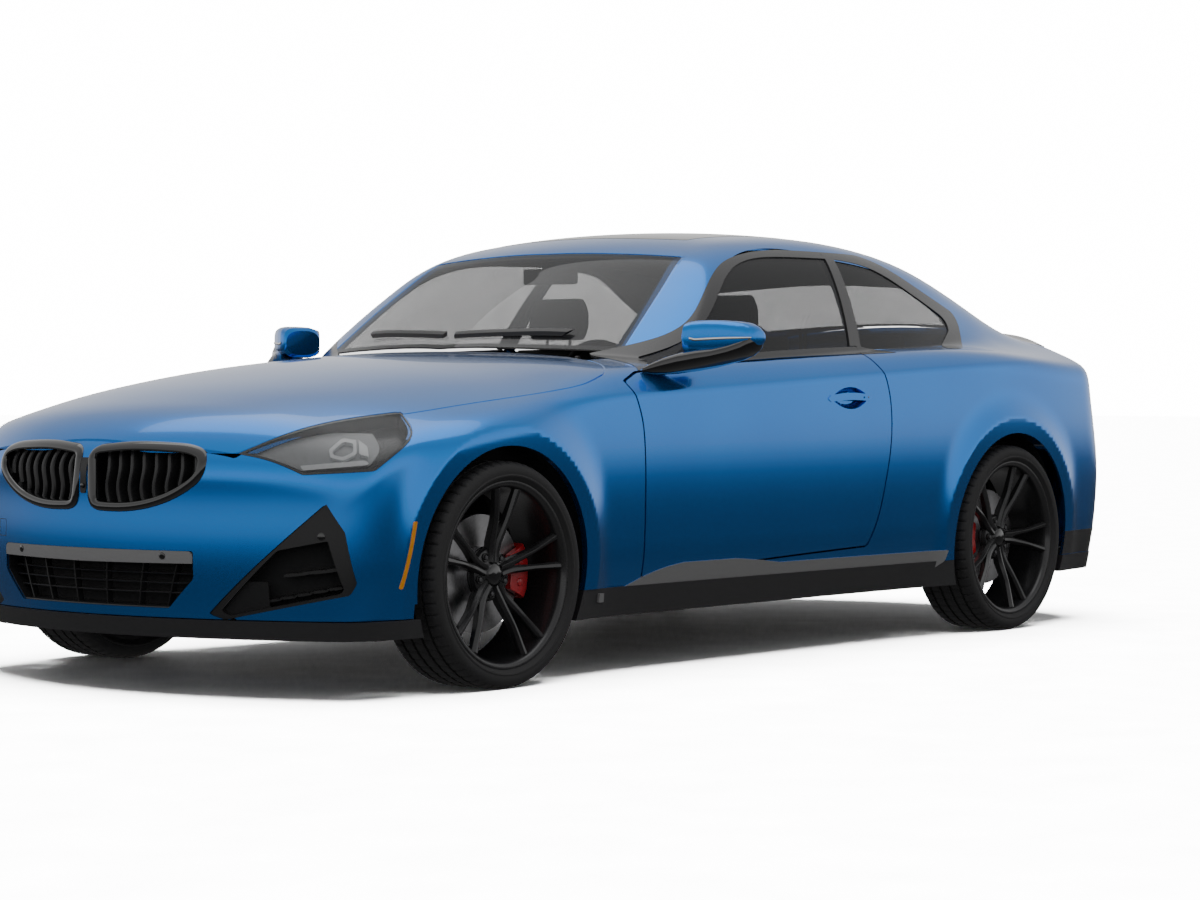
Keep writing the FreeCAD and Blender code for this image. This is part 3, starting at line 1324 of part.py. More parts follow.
carriers = []
for hand in ("left", "right"):
    carriers.append(cross_rod("rear_hub_" + hand, "46", hand, "690", TRACK_R + " - 37", REAR_X,
                              AXLE_H))
    carriers.append(cross_rod("rear_spindle_" + hand, "33", hand, TRACK_R + " - 38",
                              TRACK_R + " + 43", REAR_X, AXLE_H))
    carriers.append(cross_rod("drive_shaft_" + hand, "18", hand, "140", "700", REAR_X, AXLE_H))
    low, high = span(hand, "330", "720")
    carriers.append(block("lower_link_" + hand, REAR_X + " - 30", REAR_X + " + 30", low, high,
                          "215", "240"))
    carriers.append(block("upper_link_" + hand, REAR_X + " - 25", REAR_X + " + 25", low, high,
                          "400", "425"))
    low, high = span(hand, "690", "720")
    carriers.append(block("hub_carrier_" + hand, REAR_X + " - 40", REAR_X + " + 40", low, high,
                          "225", "440"))
    low, high = span(hand, "300", "340")
    carriers.append(block("cradle_upright_" + hand, REAR_X + " - 40", REAR_X + " + 40", low, high,
                          "240", "430"))
    for way, post in (("ahead", "- 125"), ("behind", "+ 125")):
        middle = "%s310" % SIGN[hand]
        carriers.append(rod("cradle_post_%s_%s" % (way, hand), "24", "204.7",
                            "%s %s" % (REAR_X, post), middle, "245", FreeCAD.Rotation()))
carriers.append(block("cradle", REAR_X + " - 150", REAR_X + " + 150", "-340", "340", "205", "250"))
carriers.append(block("final_drive", REAR_X + " - 130", REAR_X + " + 130", "-150", "150", "245",
                      "430"))
keep(fused("rear_axle", carriers), "rear_axle")
keep(grouped("rear_calipers", [caliper("rear", "left"), caliper("rear", "right")]),
     "rear_calipers")

# Floor, bulkhead, strut towers and the structure behind the bumpers

NOSE_X = "-Sizes.overall_length / 2"
TAIL_X = "Sizes.overall_length / 2"
panels = [
    block("floor_panel", FRONT_X + " + 520", REAR_X + " - 330", "-719.5", "719.5", "232.5", "262"),
    block("tunnel", FRONT_X + " + 520", REAR_X + " - 596", "-110", "110", "262.5", "360"),
    block("floor_step", REAR_X + " - 350", REAR_X + " - 330", "-560", "560", "262.5", "449.5"),
    block("rear_floor", REAR_X + " - 350", TAIL_X + " - 162.5", "-560", "560", "450", "470"),
    block("bulkhead", FRONT_X + " + 500", FRONT_X + " + 519.5", "-690", "690", "232.5", "850"),
    block("front_panel", NOSE_X + " + 230", NOSE_X + " + 250", "-560", "560", "300", "680"),
    block("tail_panel", TAIL_X + " - 162", TAIL_X + " - 142", "-490", "490", "330", "640"),
]
for hand in ("left", "right"):
    low, high = span(hand, "430", "490")
    panels.append(block("front_rail_" + hand, NOSE_X + " + 250.5", FRONT_X + " + 499.5", low,
                        high, "560", "640"))
    low, high = span(hand, "430", "676")
    panels.append(block("tower_top_" + hand, FRONT_X + " - 75", FRONT_X + " + 75", low, high,
                        "802.5", "820"))
    low, high = span(hand, "430", "450")
    panels.append(block("tower_wall_" + hand, FRONT_X + " - 75", FRONT_X + " + 75", low, high,
                        "640.5", "802"))
keep(grouped("underbody_panels", panels), "underbody")
pipes = [block("silencer", REAR_X + " + 330", REAR_X + " + 560", "-330", "330", "262", "400")]
bores = []
for hand in ("left", "right"):
    middle = "%sSizes.tail_pipe_y" % SIGN[hand]
    pipes.append(rod("tail_pipe_" + hand, "37", TAIL_X + " - 83 - (" + REAR_X + " + 520)",
                     REAR_X + " + 520", middle, "Sizes.tail_pipe_z", LENGTHWISE))
    bores.append(rod("tail_bore_" + hand, "34", "150", TAIL_X + " - 200", middle,
                     "Sizes.tail_pipe_z", LENGTHWISE))
    low, high = span(hand, "300", "440")
    pipes.append(block("pipe_bend_" + hand, REAR_X + " + 500", REAR_X + " + 560", low, high,
                       "262", "299"))
    low, high = span(hand, "240", "270")
    pipes.append(block("silencer_hanger_" + hand, REAR_X + " + 430", REAR_X + " + 460", low, high,
                       "395", "449.6"))
keep(less("exhaust", fused("exhaust_solid", pipes), fused("tail_bores", bores)), "exhaust")

# Cabin furniture: seats, dashboard, console and steering wheel


def padded_block(name, corners, width, base, radius):
    """A side outline, padded evenly to both sides and rounded along its long edges."""
    body = doc.addObject("PartDesign::Body", name)
    sketch = profile(body, name + "_profile", corners, 4)
    pad = body.newObject("PartDesign::Pad", name + "_pad")
    pad.Profile = sketch
    pad.SideType = "Symmetric"
    bind(pad, {"Length": width})
    if radius:
        sketch.recompute()
        pad.recompute()
        edges = ["Edge%d" % (i + 1) for i, e in enumerate(pad.Shape.Edges)
                 if abs(e.BoundBox.YMax - e.BoundBox.YMin) < 1]
        rounds = body.newObject("PartDesign::Fillet", name + "_rounds")
        rounds.Base = (pad, edges)
        rounds.Radius = radius
    return place_body(body, base, FreeCAD.Rotation())


SEAT_OUTLINE = [("-370", "300"), ("-400", "440"), ("-330", "500"), ("60", "460"), ("200", "1010"),
                ("190", "1180"), ("290", "1190"), ("330", "1000"), ("210", "400"),
                ("180", "262.5"), ("-340", "262.5")]
BENCH_OUTLINE = [("-560", "262.5"), ("-590", "430"), ("-540", "500"), ("-190", "520"),
                 ("40", "960"), ("130", "960"), ("-80", "470.5"), ("-350.5", "470.5"),
                 ("-350.5", "262.5")]
DASH_OUTLINE = [("521", "560"), ("521", "850"), ("700", "893"), ("860", "916"), ("950", "918"),
                ("1000", "880"), ("960", "700"), ("880", "560")]
DASH_END_OUTLINE = [("722", "580"), ("722", "790"), ("930", "790"), ("950", "700"),
                    ("880", "580")]
CONSOLE_OUTLINE = [("880", "361.5"), ("880", "551"), ("916", "605"), ("966", "606"),
                   ("1120", "540"),
                   ("1500", "540"), ("1560", "600"), ("1740", "600"), ("1760", "361.5")]
seats = [padded_block("front_seat_" + hand, SEAT_OUTLINE, "Sizes.seat_width",
                      (REAR_X + " - 1244", "%s372" % SIGN[hand], "0"), 25)
         for hand in ("left", "right")]
keep(grouped("front_seats", seats), "front_seats")
keep(padded_block("rear_seat", BENCH_OUTLINE, "1080", (REAR_X, "0", "0"), 0), "rear_seat")
dash = padded_block("dash_top", DASH_OUTLINE, "1236", (FRONT_X, "0", "0"), 10)
dash_ends = padded_block("dash_ends", DASH_END_OUTLINE, "1470", (FRONT_X, "0", "0"), 10)
COLUMN_TILT = 24.0
column_way = V(math.cos(math.radians(COLUMN_TILT)), 0, math.sin(math.radians(COLUMN_TILT)))
COLUMN_TURN = FreeCAD.Rotation(V(0, 0, 1), column_way)


def column_rod(name, radius, start, length):
    """A round bar along the steering column, from a distance past the wheel's centre."""
    return rod(name, radius, length, "%s + 1110 + %.4f * (%s)" % (FRONT_X, column_way.x, start),
               "-372", "850 + %.4f * (%s)" % (column_way.z, start), COLUMN_TURN)


column = column_rod("column_shroud", "32", "-190", "130")
keep(fused("dashboard", [dash, dash_ends, column]), "dashboard")
keep(padded_block("centre_console", CONSOLE_OUTLINE, "210", (FRONT_X, "0", "0"), 12),
     "centre_console")
hoop = doc.addObject("Part::Torus", "steering_hoop")
hoop.Placement = FreeCAD.Placement(V(0, 0, 0), COLUMN_TURN)
bind(hoop, {"Radius1": "Sizes.steering_wheel_diameter / 2 - 15", "Radius2": "15",
            "Placement.Base.x": FRONT_X + " + 1110", "Placement.Base.y": "-372",
            "Placement.Base.z": "850"})
boss = column_rod("steering_boss", "62", "-32", "40")
neck = column_rod("steering_neck", "22", "-59.5", "30")
bar = doc.addObject("Part::Box", "steering_spokes")
bar.Placement = FreeCAD.Placement(V(0, 0, 0), COLUMN_TURN)
bind(bar, {"Length": "40", "Width": "Sizes.steering_wheel_diameter - 26", "Height": "16",
           "Placement.Base.x": FRONT_X + " + 1110 - 11",
           "Placement.Base.y": "-372 - Sizes.steering_wheel_diameter / 2 + 13",
           "Placement.Base.z": "850 + 14"})
keep(fused("steering_wheel", [hoop, boss, neck, bar]), "steering_wheel")

# Wheel arch liners stand just inside the panels, with a hole for each front strut


def along(radius, start, end):
    way = end - start
    return Part.makeCylinder(radius, way.Length, start, way)


arch_room = patch(lower_body, section_rays(spread(FA - 420, FA + 420, 9), fender_targets,
                                           side_spine), size("bumper_thickness") + 68, -60.0)
wall_room = patch(whole_body, section_rays(SIDE_STATIONS, side_targets, side_spine),
                  size("side_thickness") + 66, -60.0)
LINER = ARCH + 26
strut_top = V(FA, -size("strut_top_y"), size("strut_top_z"))
ball_joint = V(FA, -size("ball_joint_y"), size("ball_joint_z"))
strut_hole = along(66, ball_joint, strut_top)
liners = []
for axle, inner_wall, walls in ((FA, 505, [arch_room, strut_hole]), (RA, 575, [wall_room])):
    arc = cylinder_y(LINER, axle, AXLE_Z, -920, -inner_wall)
    arc = arc.cut(cylinder_y(LINER - 5, axle, AXLE_Z, -930, -inner_wall + 10))
    arc = arc.cut(box(axle - 500, axle + 500, -930, 0, -200, 330))
    for wall in walls:
        arc = arc.cut(wall)
    liners.append(largest(arc))
node("wheel_arch_liners", [s for arc in liners for s in both(arc)])

# Cowl under the hood's rear edge, and a parcel shelf that carries the lid's hinges

COWL_HALF = [
    [(FA + 672, 0), (FA + 676, -300), (FA + 688, -560)],
    [(FA + 688, -560), (FA + 682, -600)],
    [(FA + 682, -600), (FA + 826, -600)],
    [(FA + 826, -600), (FA + 739, -330), (FA + 689.5, 0)],
]
cowl = patch(lower_body, section_rays(spread(FA + 600, FA + 860, 5), hood_targets, hood_spine),
             14.0, 16.0)
cowl = largest(cowl.common(plan_prism(ring_mirrored(COWL_HALF))))
for y in (-532, 508):
    cowl = cowl.cut(box(FA + 600, FA + 756, y, y + 24, 900, 1000))
for y in (-544, 532.3):
    lug = box(FA + 732, FA + 748, y, y + 11.7, 925, 955)
    cowl = cowl.fuse(lug.fuse(cylinder_y(8, HOOD_PIVOT.x, HOOD_PIVOT.z, y, y + 11.7)))
cowl = cowl.cut(cylinder_y(3.3, HOOD_PIVOT.x, HOOD_PIVOT.z, -700, 700))
node("cowl", largest(cowl))
shelf = box(RA + 50, RA + 537, -470, 470, 960.5, 972)
brackets = []
for y in (-LID_ARM_Y - 14.3, -LID_ARM_Y + 6.3, LID_ARM_Y - 14.3, LID_ARM_Y + 6.3):
    brackets.append(box(LID_PIVOT.x - 6, LID_PIVOT.x + 6, y, y + 8, 966, LID_PIVOT.z))
    brackets.append(cylinder_y(6, LID_PIVOT.x, LID_PIVOT.z, y, y + 8))
shelf = shelf.fuse(brackets).cut(cylinder_y(2.8, LID_PIVOT.x, LID_PIVOT.z, -500, 500))
node("parcel_shelf", largest(shelf))

doc.recompute()
os.makedirs("parts", exist_ok=True)
for feature in NODES:
    shape = feature.Shape
    if shape.isNull() or not shape.isValid() or "Invalid" in feature.State:
        raise RuntimeError("the sub-part %s did not build" % feature.Label)
    shape.exportStep("parts/%s.step" % feature.Label)
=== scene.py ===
import bpy
import math
import numpy as np
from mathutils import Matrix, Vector


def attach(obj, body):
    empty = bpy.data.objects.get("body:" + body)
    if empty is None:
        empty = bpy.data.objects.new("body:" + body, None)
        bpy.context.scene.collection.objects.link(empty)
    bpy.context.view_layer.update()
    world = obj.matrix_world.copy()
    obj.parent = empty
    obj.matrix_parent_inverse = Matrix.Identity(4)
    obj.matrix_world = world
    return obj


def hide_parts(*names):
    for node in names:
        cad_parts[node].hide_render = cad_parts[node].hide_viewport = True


# A blue two-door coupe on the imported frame: painted panels, glass, lamps, grilles, wheels, cabin.
# Lengths below are millimetres in the frame's axes: nose to -X, the car's left to -Y, +Z up.

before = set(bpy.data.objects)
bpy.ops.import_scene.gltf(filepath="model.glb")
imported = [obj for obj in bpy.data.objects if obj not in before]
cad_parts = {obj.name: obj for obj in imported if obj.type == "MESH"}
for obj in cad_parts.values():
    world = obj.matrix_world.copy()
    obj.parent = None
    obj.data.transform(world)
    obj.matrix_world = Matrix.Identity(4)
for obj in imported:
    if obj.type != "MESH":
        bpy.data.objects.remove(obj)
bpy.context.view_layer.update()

# Body sides: sill, pillars, roof rail and rear quarter in one pressed steel sheet each side,
# welded to the floor and the roof and painted. Every outer panel is cut from one body form,
# which is below zero inside the car, so that neighbouring panels share one surface.

MM = 0.001
NOSE = -2268.5
TAIL = 2268.5
FA = -1446.5
RA = 1294.5
AXLE_Z = 328.0
ROOF = 1401.0
SILL = 882.0
FRONT_W = 903.0
REAR_W = 919.0
ARCH = 372.0
GAP = 6.0
SILL_Z = 264.0
SPINE_Z = 560.0


def curve(points):
    """A natural cubic spline through a few points, straight beyond its ends."""
    xs = np.array([p[0] for p in points], float)
    ys = np.array([p[1] for p in points], float)
    count = len(xs)
    gaps = np.diff(xs)
    rows = np.eye(count)
    turns = np.zeros(count)
    for i in range(1, count - 1):
        rows[i, i - 1:i + 2] = gaps[i - 1], 2 * (gaps[i - 1] + gaps[i]), gaps[i]
        turns[i] = 6 * ((ys[i + 1] - ys[i]) / gaps[i] - (ys[i] - ys[i - 1]) / gaps[i - 1])
    bend = np.linalg.solve(rows, turns)
    start = (ys[1] - ys[0]) / gaps[0] - gaps[0] * bend[1] / 6
    end = (ys[-1] - ys[-2]) / gaps[-1] + gaps[-1] * bend[-2] / 6

    def value(t):
        """The cubic of the stretch that holds t, or the end's tangent outside."""
        t = np.asarray(t, float)
        i = np.clip(np.searchsorted(xs, t) - 1, 0, count - 2)
        gap = gaps[i]
        u = (xs[i + 1] - t) / gap
        v = (t - xs[i]) / gap
        cubic = (u ** 3 - u) * bend[i] + (v ** 3 - v) * bend[i + 1]
        inside = u * ys[i] + v * ys[i + 1] + cubic * gap * gap / 6
        before = ys[0] + start * (t - xs[0])
        after = ys[-1] + end * (t - xs[-1])
        return np.where(t < xs[0], before, np.where(t > xs[-1], after, inside))

    return value


def smooth_max(a, b, width):
    """The larger of a and b, rounded where they differ by less than the width."""
    h = np.clip(1 - np.abs(a - b) / width, 0, 1)
    return np.maximum(a, b) + h ** 3 * width / 6


def smooth_min(a, b, width):
    """The smaller of a and b, rounded where they differ by less than the width."""
    return -smooth_max(-a, -b, width)


def ramp(t, width):
    """Zero below, t above, with a soft corner as wide as width on each side."""
    s = np.clip((t + width) / (2 * width), 0, 1)
    return np.where(t > width, t, 2 * width * (s ** 3 - s ** 4 / 2))


def ease(t):
    """From 0 to 1 with level ends: t squared times (3 - 2 t)."""
    t = np.clip(t, 0, 1)
    return t * t * (3 - 2 * t)


nose_face = curve([(150, NOSE + 33), (260, NOSE + 10), (420, NOSE), (600, NOSE + 3),
                   (690, NOSE + 13), (735, NOSE + 42), (780, NOSE + 89)])
tail_face = curve([(250, TAIL - 34), (380, TAIL - 14), (560, TAIL), (720, TAIL - 28),
                   (850, TAIL - 56), (1000, TAIL - 88), (1060, TAIL - 108)])
top_line = curve([(NOSE - 52, 600), (NOSE + 6, 700), (NOSE + 42, 738), (NOSE + 78, 768),
                  (NOSE + 168, 806), (FA - 453, 858), (FA - 253, 896), (FA, 932),
                  (FA + 250, 956), (FA + 500, 972), (FA + 706, 981), (RA - 1594, 1001),
                  (RA - 1064, 1019), (RA - 524, 1034), (RA + 6, 1048), (RA + 456, 1056),
                  (TAIL - 168, 1060), (TAIL - 18, 1060)])
top_drop = curve([(NOSE, 55), (FA - 453, 74), (FA + 46, 84), (FA + 346, 80), (FA + 546, 58),
                  (FA + 671, 50), (RA - 1358, 40), (RA - 859, 38), (RA - 318, 36),
                  (RA + 6, 50), (RA + 406, 80), (TAIL - 168, 110)])
half_width = curve([(NOSE, SILL - 14), (FA - 453, SILL), (FA, SILL + 4), (FA + 446, SILL - 4),
                    (FA + 846, SILL - 6), (RA - 1294, SILL), (RA - 694, SILL + 10),
                    (RA - 294, SILL + 21), (RA, SILL + 26), (RA + 406, SILL + 18),
                    (TAIL - 268, SILL - 14), (TAIL, SILL - 72)])
cabin_width = curve([(FA + 546, 700), (FA + 746, 742), (FA + 1046, 788), (RA - 1294, 806),
                     (RA - 794, 800), (RA - 394, 775), (RA - 44, 725), (RA + 306, 655),
                     (RA + 606, 590)])
roof_line = curve([(FA + 646, ROOF - 436), (FA + 806, ROOF - 335), (FA + 966, ROOF - 238),
                   (FA + 1106, ROOF - 159), (FA + 1236, ROOF - 89), (FA + 1346, ROOF - 51),
                   (RA - 1294, ROOF - 29), (RA - 1094, ROOF - 8), (RA - 894, ROOF),
                   (RA - 694, ROOF - 3), (RA - 494, ROOF - 17), (RA - 294, ROOF - 43),
                   (RA - 94, ROOF - 82), (RA + 106, ROOF - 138), (RA + 306, ROOF - 210),
                   (RA + 506, ROOF - 292), (RA + 656, ROOF - 355)])


def crease(x):
    """Height of the shoulder crease, a straight line that rises to the tail."""
    return 886 + 0.0495 * x


def side_width(x, z):
    """Half-width of the lower body: sill, door, crease, shoulder and arch flares."""
    line = crease(x)
    width = half_width(x) - 45 + 0.2129 * (z - 190) - 0.1659 * ramp(z - 345, 60)
    width = width + (-12 / (line - 600) - 0.047) * ramp(z - 600, 220)
    width = width + (-0.66 + 12 / (line - 600)) * ramp(z - line, 14)
    for axle, lip in ((FA, FRONT_W), (RA, REAR_W)):
        away = np.hypot(x - axle, z - AXLE_Z)
        lean = np.clip((AXLE_Z + 420 - z) / 420, 0, 1.5) ** 1.5
        flare = lip - 0.30 * ramp(away - ARCH - 58, 6) - 26 * lean
        width = smooth_max(width, flare, 14)
    return width


def lower_body(x, w, z):
    """Below zero inside the body under the glass."""
    q = (w / 800) ** 2
    top = top_line(x - 3.0e-4 * w * w) - top_drop(x) * (0.5 * q + 0.5 * q * q)
    field = smooth_max(w - side_width(x, z), z - top, 70)
    nose = smooth_max(field, nose_face(z) + 3.4e-4 * w * w - x, 110)
    field = np.where(x < NOSE + 700, nose, field)
    tail = smooth_max(field, x - tail_face(z) + 3.0e-4 * w * w + 1.2e-10 * w ** 4, 110)
    return np.where(x > TAIL - 700, tail, field)


def cabin(x, w, z):
    """Below zero inside the greenhouse."""
    rise = np.maximum(z - 950, -60)
    side = cabin_width(x) - 0.30 * rise - 6.2e-4 * rise * np.abs(rise)
    bow = 2.7e-4 * (1 - ease((x - FA - 746) / 800)) - 2.0e-4 * ease((x - RA + 394) / 500)
    top = roof_line(x - bow * w * w) - 45 * (w / 600) ** 2
    field = smooth_max(w - side, z - top, 120)
    return np.maximum(np.maximum(field, 860 - z), x - TAIL + 300)


def whole_body(x, w, z):
    """Both forms joined by a fillet that widens from 16 towards the tail."""
    blend = 16 + 150 * ease((x - RA + 394) / 600)
    return smooth_min(lower_body(x, w, z), cabin(x, w, z), blend)


def meet(field, start, way, depth=0.0, reach=1600.0):
    """Where rays from inside leave the field at the given depth below its skin."""
    low = np.zeros(len(start))
    high = np.full(len(start), reach)
    for _ in range(18):
        middle = (low + high) / 2
        at = start + way * middle[:, None]
        inside = field(at[:, 0], np.abs(at[:, 1]), at[:, 2]) + depth < 0
        low = np.where(inside, middle, low)
        high = np.where(inside, high, middle)
    return start + way * ((low + high) / 2)[:, None]


def slope(field, points):
    """Outward unit normals of the field at the points."""
    step = 0.5
    parts = []
    for axis in range(3):
        ahead = points.copy()
        behind = points.copy()
        ahead[:, axis] += step
        behind[:, axis] -= step
        up = field(ahead[:, 0], np.abs(ahead[:, 1]), ahead[:, 2])
        down = field(behind[:, 0], np.abs(behind[:, 1]), behind[:, 2])
        parts.append(up - down)
    normals = np.stack(parts, 1)
    return normals / np.linalg.norm(normals, axis=1)[:, None]


def grid_triangles(rows, columns):
    """Two triangles for every cell of a grid of points."""
    index = np.arange(rows * columns).reshape(rows, columns)
    a = index[:-1, :-1].ravel()
    b = index[1:, :-1].ravel()
    c = index[1:, 1:].ravel()
    d = index[:-1, 1:].ravel()
    return np.concatenate([np.stack([a, b, c], 1), np.stack([a, c, d], 1)])


def facing(points, triangles, normals):
    """Turns the triangles so that they face along the normals."""
    a, b, c = (points[triangles[:, k]] for k in range(3))
    face = np.cross(b - a, c - a)
    wrong = np.einsum("ij,ij->i", face, normals[triangles[:, 0]]) < 0
    triangles[wrong] = triangles[wrong][:, ::-1]
    return triangles


def trim(points, triangles, values):
    """Keeps the part of the sheet where the values are below zero, with a clean cut edge."""
    inside = values < 0
    count = inside[triangles].sum(1)
    kept = [triangles[count == 3]]
    pairs = []
    spots = []
    size = len(points)
    for wanted in (1, 2):
        some = triangles[count == wanted]
        if not len(some):
            continue
        lone = inside[some] if wanted == 1 else ~inside[some]
        turn = np.argmax(lone, 1)
        order = (turn[:, None] + np.arange(3)) % 3
        some = np.take_along_axis(some, order, 1)
        p, q, r = some[:, 0], some[:, 1], some[:, 2]
        first = sum(len(s) for s in spots)
        pairs.append(np.stack([p, q], 1))
        pairs.append(np.stack([p, r], 1))
        spots.append(np.arange(len(some)))
        spots.append(np.arange(len(some)))
        pq = size + first + np.arange(len(some))
        pr = pq + len(some)
        if wanted == 1:
            kept.append(np.stack([p, pq, pr], 1))
        else:
            kept.append(np.stack([pq, q, r], 1))
            kept.append(np.stack([pq, r, pr], 1))
    triangles = np.concatenate(kept)
    if pairs:
        pairs = np.sort(np.concatenate(pairs), 1)
        unique, place = np.unique(pairs, axis=0, return_inverse=True)
        va = values[unique[:, 0]]
        vb = values[unique[:, 1]]
        part = (va / (va - vb))[:, None]
        cut = points[unique[:, 0]] * (1 - part) + points[unique[:, 1]] * part
        points = np.concatenate([points, cut])
        new = triangles >= size
        triangles[new] = size + place.ravel()[triangles[new] - size]
    used, back = np.unique(triangles, return_inverse=True)
    triangles = back.reshape(-1, 3)
    points = points[used]
    a, b, c = (points[triangles[:, k]] for k in range(3))
    area = np.linalg.norm(np.cross(b - a, c - a), axis=1)
    return points, triangles[area > 1e-4]


def rims(triangles):
    """Edges that only one triangle uses, in that triangle's direction."""
    edges = np.concatenate([triangles[:, [0, 1]], triangles[:, [1, 2]], triangles[:, [2, 0]]])
    key = np.sort(edges, 1)
    _, place, count = np.unique(key, axis=0, return_inverse=True, return_counts=True)
    return edges[count[place.ravel()] == 1]


def run_points(run, step=14.0):
    """A run as points: straight steps of about 60, or a spline in the given steps."""
    points = np.array(run, float)
    if len(points) == 2:
        count = max(int(np.hypot(*(points[1] - points[0])) / 60), 1)
        return points[0] + (points[1] - points[0]) * (np.arange(count) / count)[:, None]
    places = np.concatenate([[0], np.cumsum(np.hypot(*np.diff(points, axis=0).T))])
    count = max(int(places[-1] / step), 4)
    at = np.arange(count) / count * places[-1]
    return np.stack([curve(list(zip(places, points[:, k])))(at) for k in (0, 1)], 1)


def outline(ring):
    """All the runs of a ring as one closed loop of points."""
    return np.concatenate([run_points(run) for run in ring])


def distance(loop, a, b):
    """Signed distance to a closed outline: below zero inside."""
    ends = np.roll(loop, -1, 0)
    best = np.full(len(a), 1e12)
    winding = np.zeros(len(a), bool)
    for (px, py), (qx, qy) in zip(loop, ends):
        dx, dy = qx - px, qy - py
        along = np.clip(((a - px) * dx + (b - py) * dy) / (dx * dx + dy * dy + 1e-12), 0, 1)
        best = np.minimum(best, (a - px - along * dx) ** 2 + (b - py - along * dy) ** 2)
        if py != qy:
            cross = (py > b) != (qy > b)
            winding ^= cross & (a < px + (b - py) * dx / dy)
    return np.sqrt(best) * np.where(winding, -1, 1)


def mirrored_ring(half):
    """A half outline and its mirror image across the car's centre plane."""
    return half + [[(a, -b) for a, b in reversed(run)] for run in reversed(half)]


def in_side(ring, gap=0.0):
    """A test on points: distance outside a side-view outline, less the gap."""
    loop = outline(ring)
    return lambda p: distance(loop, p[:, 0], p[:, 2]) - gap


def in_plan(ring, gap=0.0):
    """A test on points: distance outside a plan-view outline, less the gap."""
    loop = outline(ring)
    return lambda p: distance(loop, p[:, 0], p[:, 1]) - gap


def off(test):
    """The test turned round, which keeps what it cut."""
    return lambda p: -test(p)


def wheel_cut(axle, radius=ARCH):
    """A test that cuts what is nearer to an axle than the arch's radius."""
    return lambda p: radius - np.hypot(p[:, 0] - axle, p[:, 2] - AXLE_Z)


def above(z):
    """A test that keeps what is above a height."""
    return lambda p: z - p[:, 2]


def runs(*parts):
    """An outline's runs: each starts where the one before it ends, and the first where the
    last ends, or at a point that is given before them."""
    start = parts[-1][-1]
    if isinstance(parts[0], tuple):
        start = parts[0]
        parts = parts[1:]
    ring = []
    for part in parts:
        ring.append([start] + part)
        start = part[-1]
    return ring


def straight(corners):
    """A closed outline of straight runs from corner to corner."""
    return [list(pair) for pair in zip(corners, corners[1:] + corners[:1])]


DOOR_RING = runs(
    [(FA + 665, 420), (FA + 664, 554), (FA + 662, 686), (FA + 653, 768), (FA + 628, 837),
     (FA + 606, 883)],
    [(FA + 690, 909)],
    [(RA - 1330, 955), (RA - 828, 974)],
    [(RA - 770, 860), (RA - 757, 768), (RA - 766, 660), (RA - 796, 540), (RA - 838, 417),
     (RA - 888, 336)],
    [(RA - 1418, 318), (FA + 666, 290)])
WINDOW_RING = runs(
    [(RA - 1330, 950), (RA - 828, 970)],
    [(RA - 746, 1304)],
    [(RA - 1080, 1322), (RA - 1245, 1300), (RA - 1360, 1262), (RA - 1470, 1194), (FA + 1110, 1077),
     (FA + 820, 966)],
    [(FA + 800, 916)])
QUARTER_RING = runs(
    [(RA - 300, 1006), (RA - 120, 1016)],
    [(RA - 30, 1050), (RA - 60, 1110)],
    [(RA - 240, 1205), (RA - 440, 1265), (RA - 724, 1298)],
    [(RA - 806, 990)])
HOOD_HALF = runs(
    (NOSE + 46, 0),
    [(NOSE + 57, -260), (NOSE + 109, -508)],
    [(FA - 590, -636), (FA - 450, -693), (FA - 304, -744), (FA - 110, -778), (FA + 72, -795),
     (FA + 327, -808), (FA + 450, -810), (FA + 560, -788)],
    [(FA + 625, -730), (FA + 680, -560)],
    [(FA + 668, -300), (FA + 664, 0)])
WINDSCREEN_HALF = runs(
    (FA + 690, 0),
    [(FA + 740, -330), (FA + 850, -632)],
    [(FA + 1080, -590), (FA + 1290, -540)],
    [(FA + 1255, -300), (FA + 1236, 0)])
ROOF_HALF = runs(
    (FA + 1237, 0),
    [(FA + 1256, -300), (FA + 1291, -540)],
    [(RA - 800, -556), (RA + 20, -520)],
    [(RA + 70, -300), (RA + 84, 0)])
REAR_WINDOW_HALF = runs(
    (RA + 85, 0),
    [(RA + 71, -300), (RA + 21, -520)],
    [(RA + 250, -530), (RA + 470, -540)],
    [(RA + 530, -300), (RA + 548, 0)])
TRUNK_HALF = runs(
    (RA + 588, 0),
    [(RA + 580, -300), (RA + 558, -560)],
    [(RA + 660, -640), (TAIL + 40, -655)],
    [(TAIL + 40, 0)])
REAR_BUMPER_TOP = runs(
    [(RA + 200, 643)],
    [(RA + 300, 660), (RA + 389, 694), (RA + 530, 740), (RA + 700, 706)],
    [(TAIL + 300, 650)],
    [(TAIL + 300, 100)],
    [(RA + 200, 100)])
TAIL_LAMP_RING = runs(
    [(860, 915), (991, 912)],
    [(991, 812)],
    [(860, 776), (780, 770)],
    [(748, 905)])


def in_rear_corner(ring, gap=0.0):
    """An outline seen square to the tail's left corner."""
    loop = outline(ring)
    return lambda p: distance(loop, (p[:, 0] + p[:, 1]) * math.sqrt(0.5), p[:, 2]) - gap


def add_mesh(name, points, faces, material, body, nodes=(), corners=None):
    """An object from points in millimetres, on a body and in place of the nodes it stands for."""
    mesh = bpy.data.meshes.new(name)
    mesh.from_pydata((np.asarray(points) * MM).tolist(), [], [list(map(int, f)) for f in faces])
    mesh.materials.append(material)
    mesh.polygons.foreach_set("use_smooth", np.full(len(mesh.polygons), True))
    if corners is not None:
        mesh.normals_split_custom_set(corners.tolist())
    mesh.update()
    thing = bpy.data.objects.new(name, mesh)
    bpy.context.scene.collection.objects.link(thing)
    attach(thing, body)
    if nodes:
        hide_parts(*nodes)
    return thing


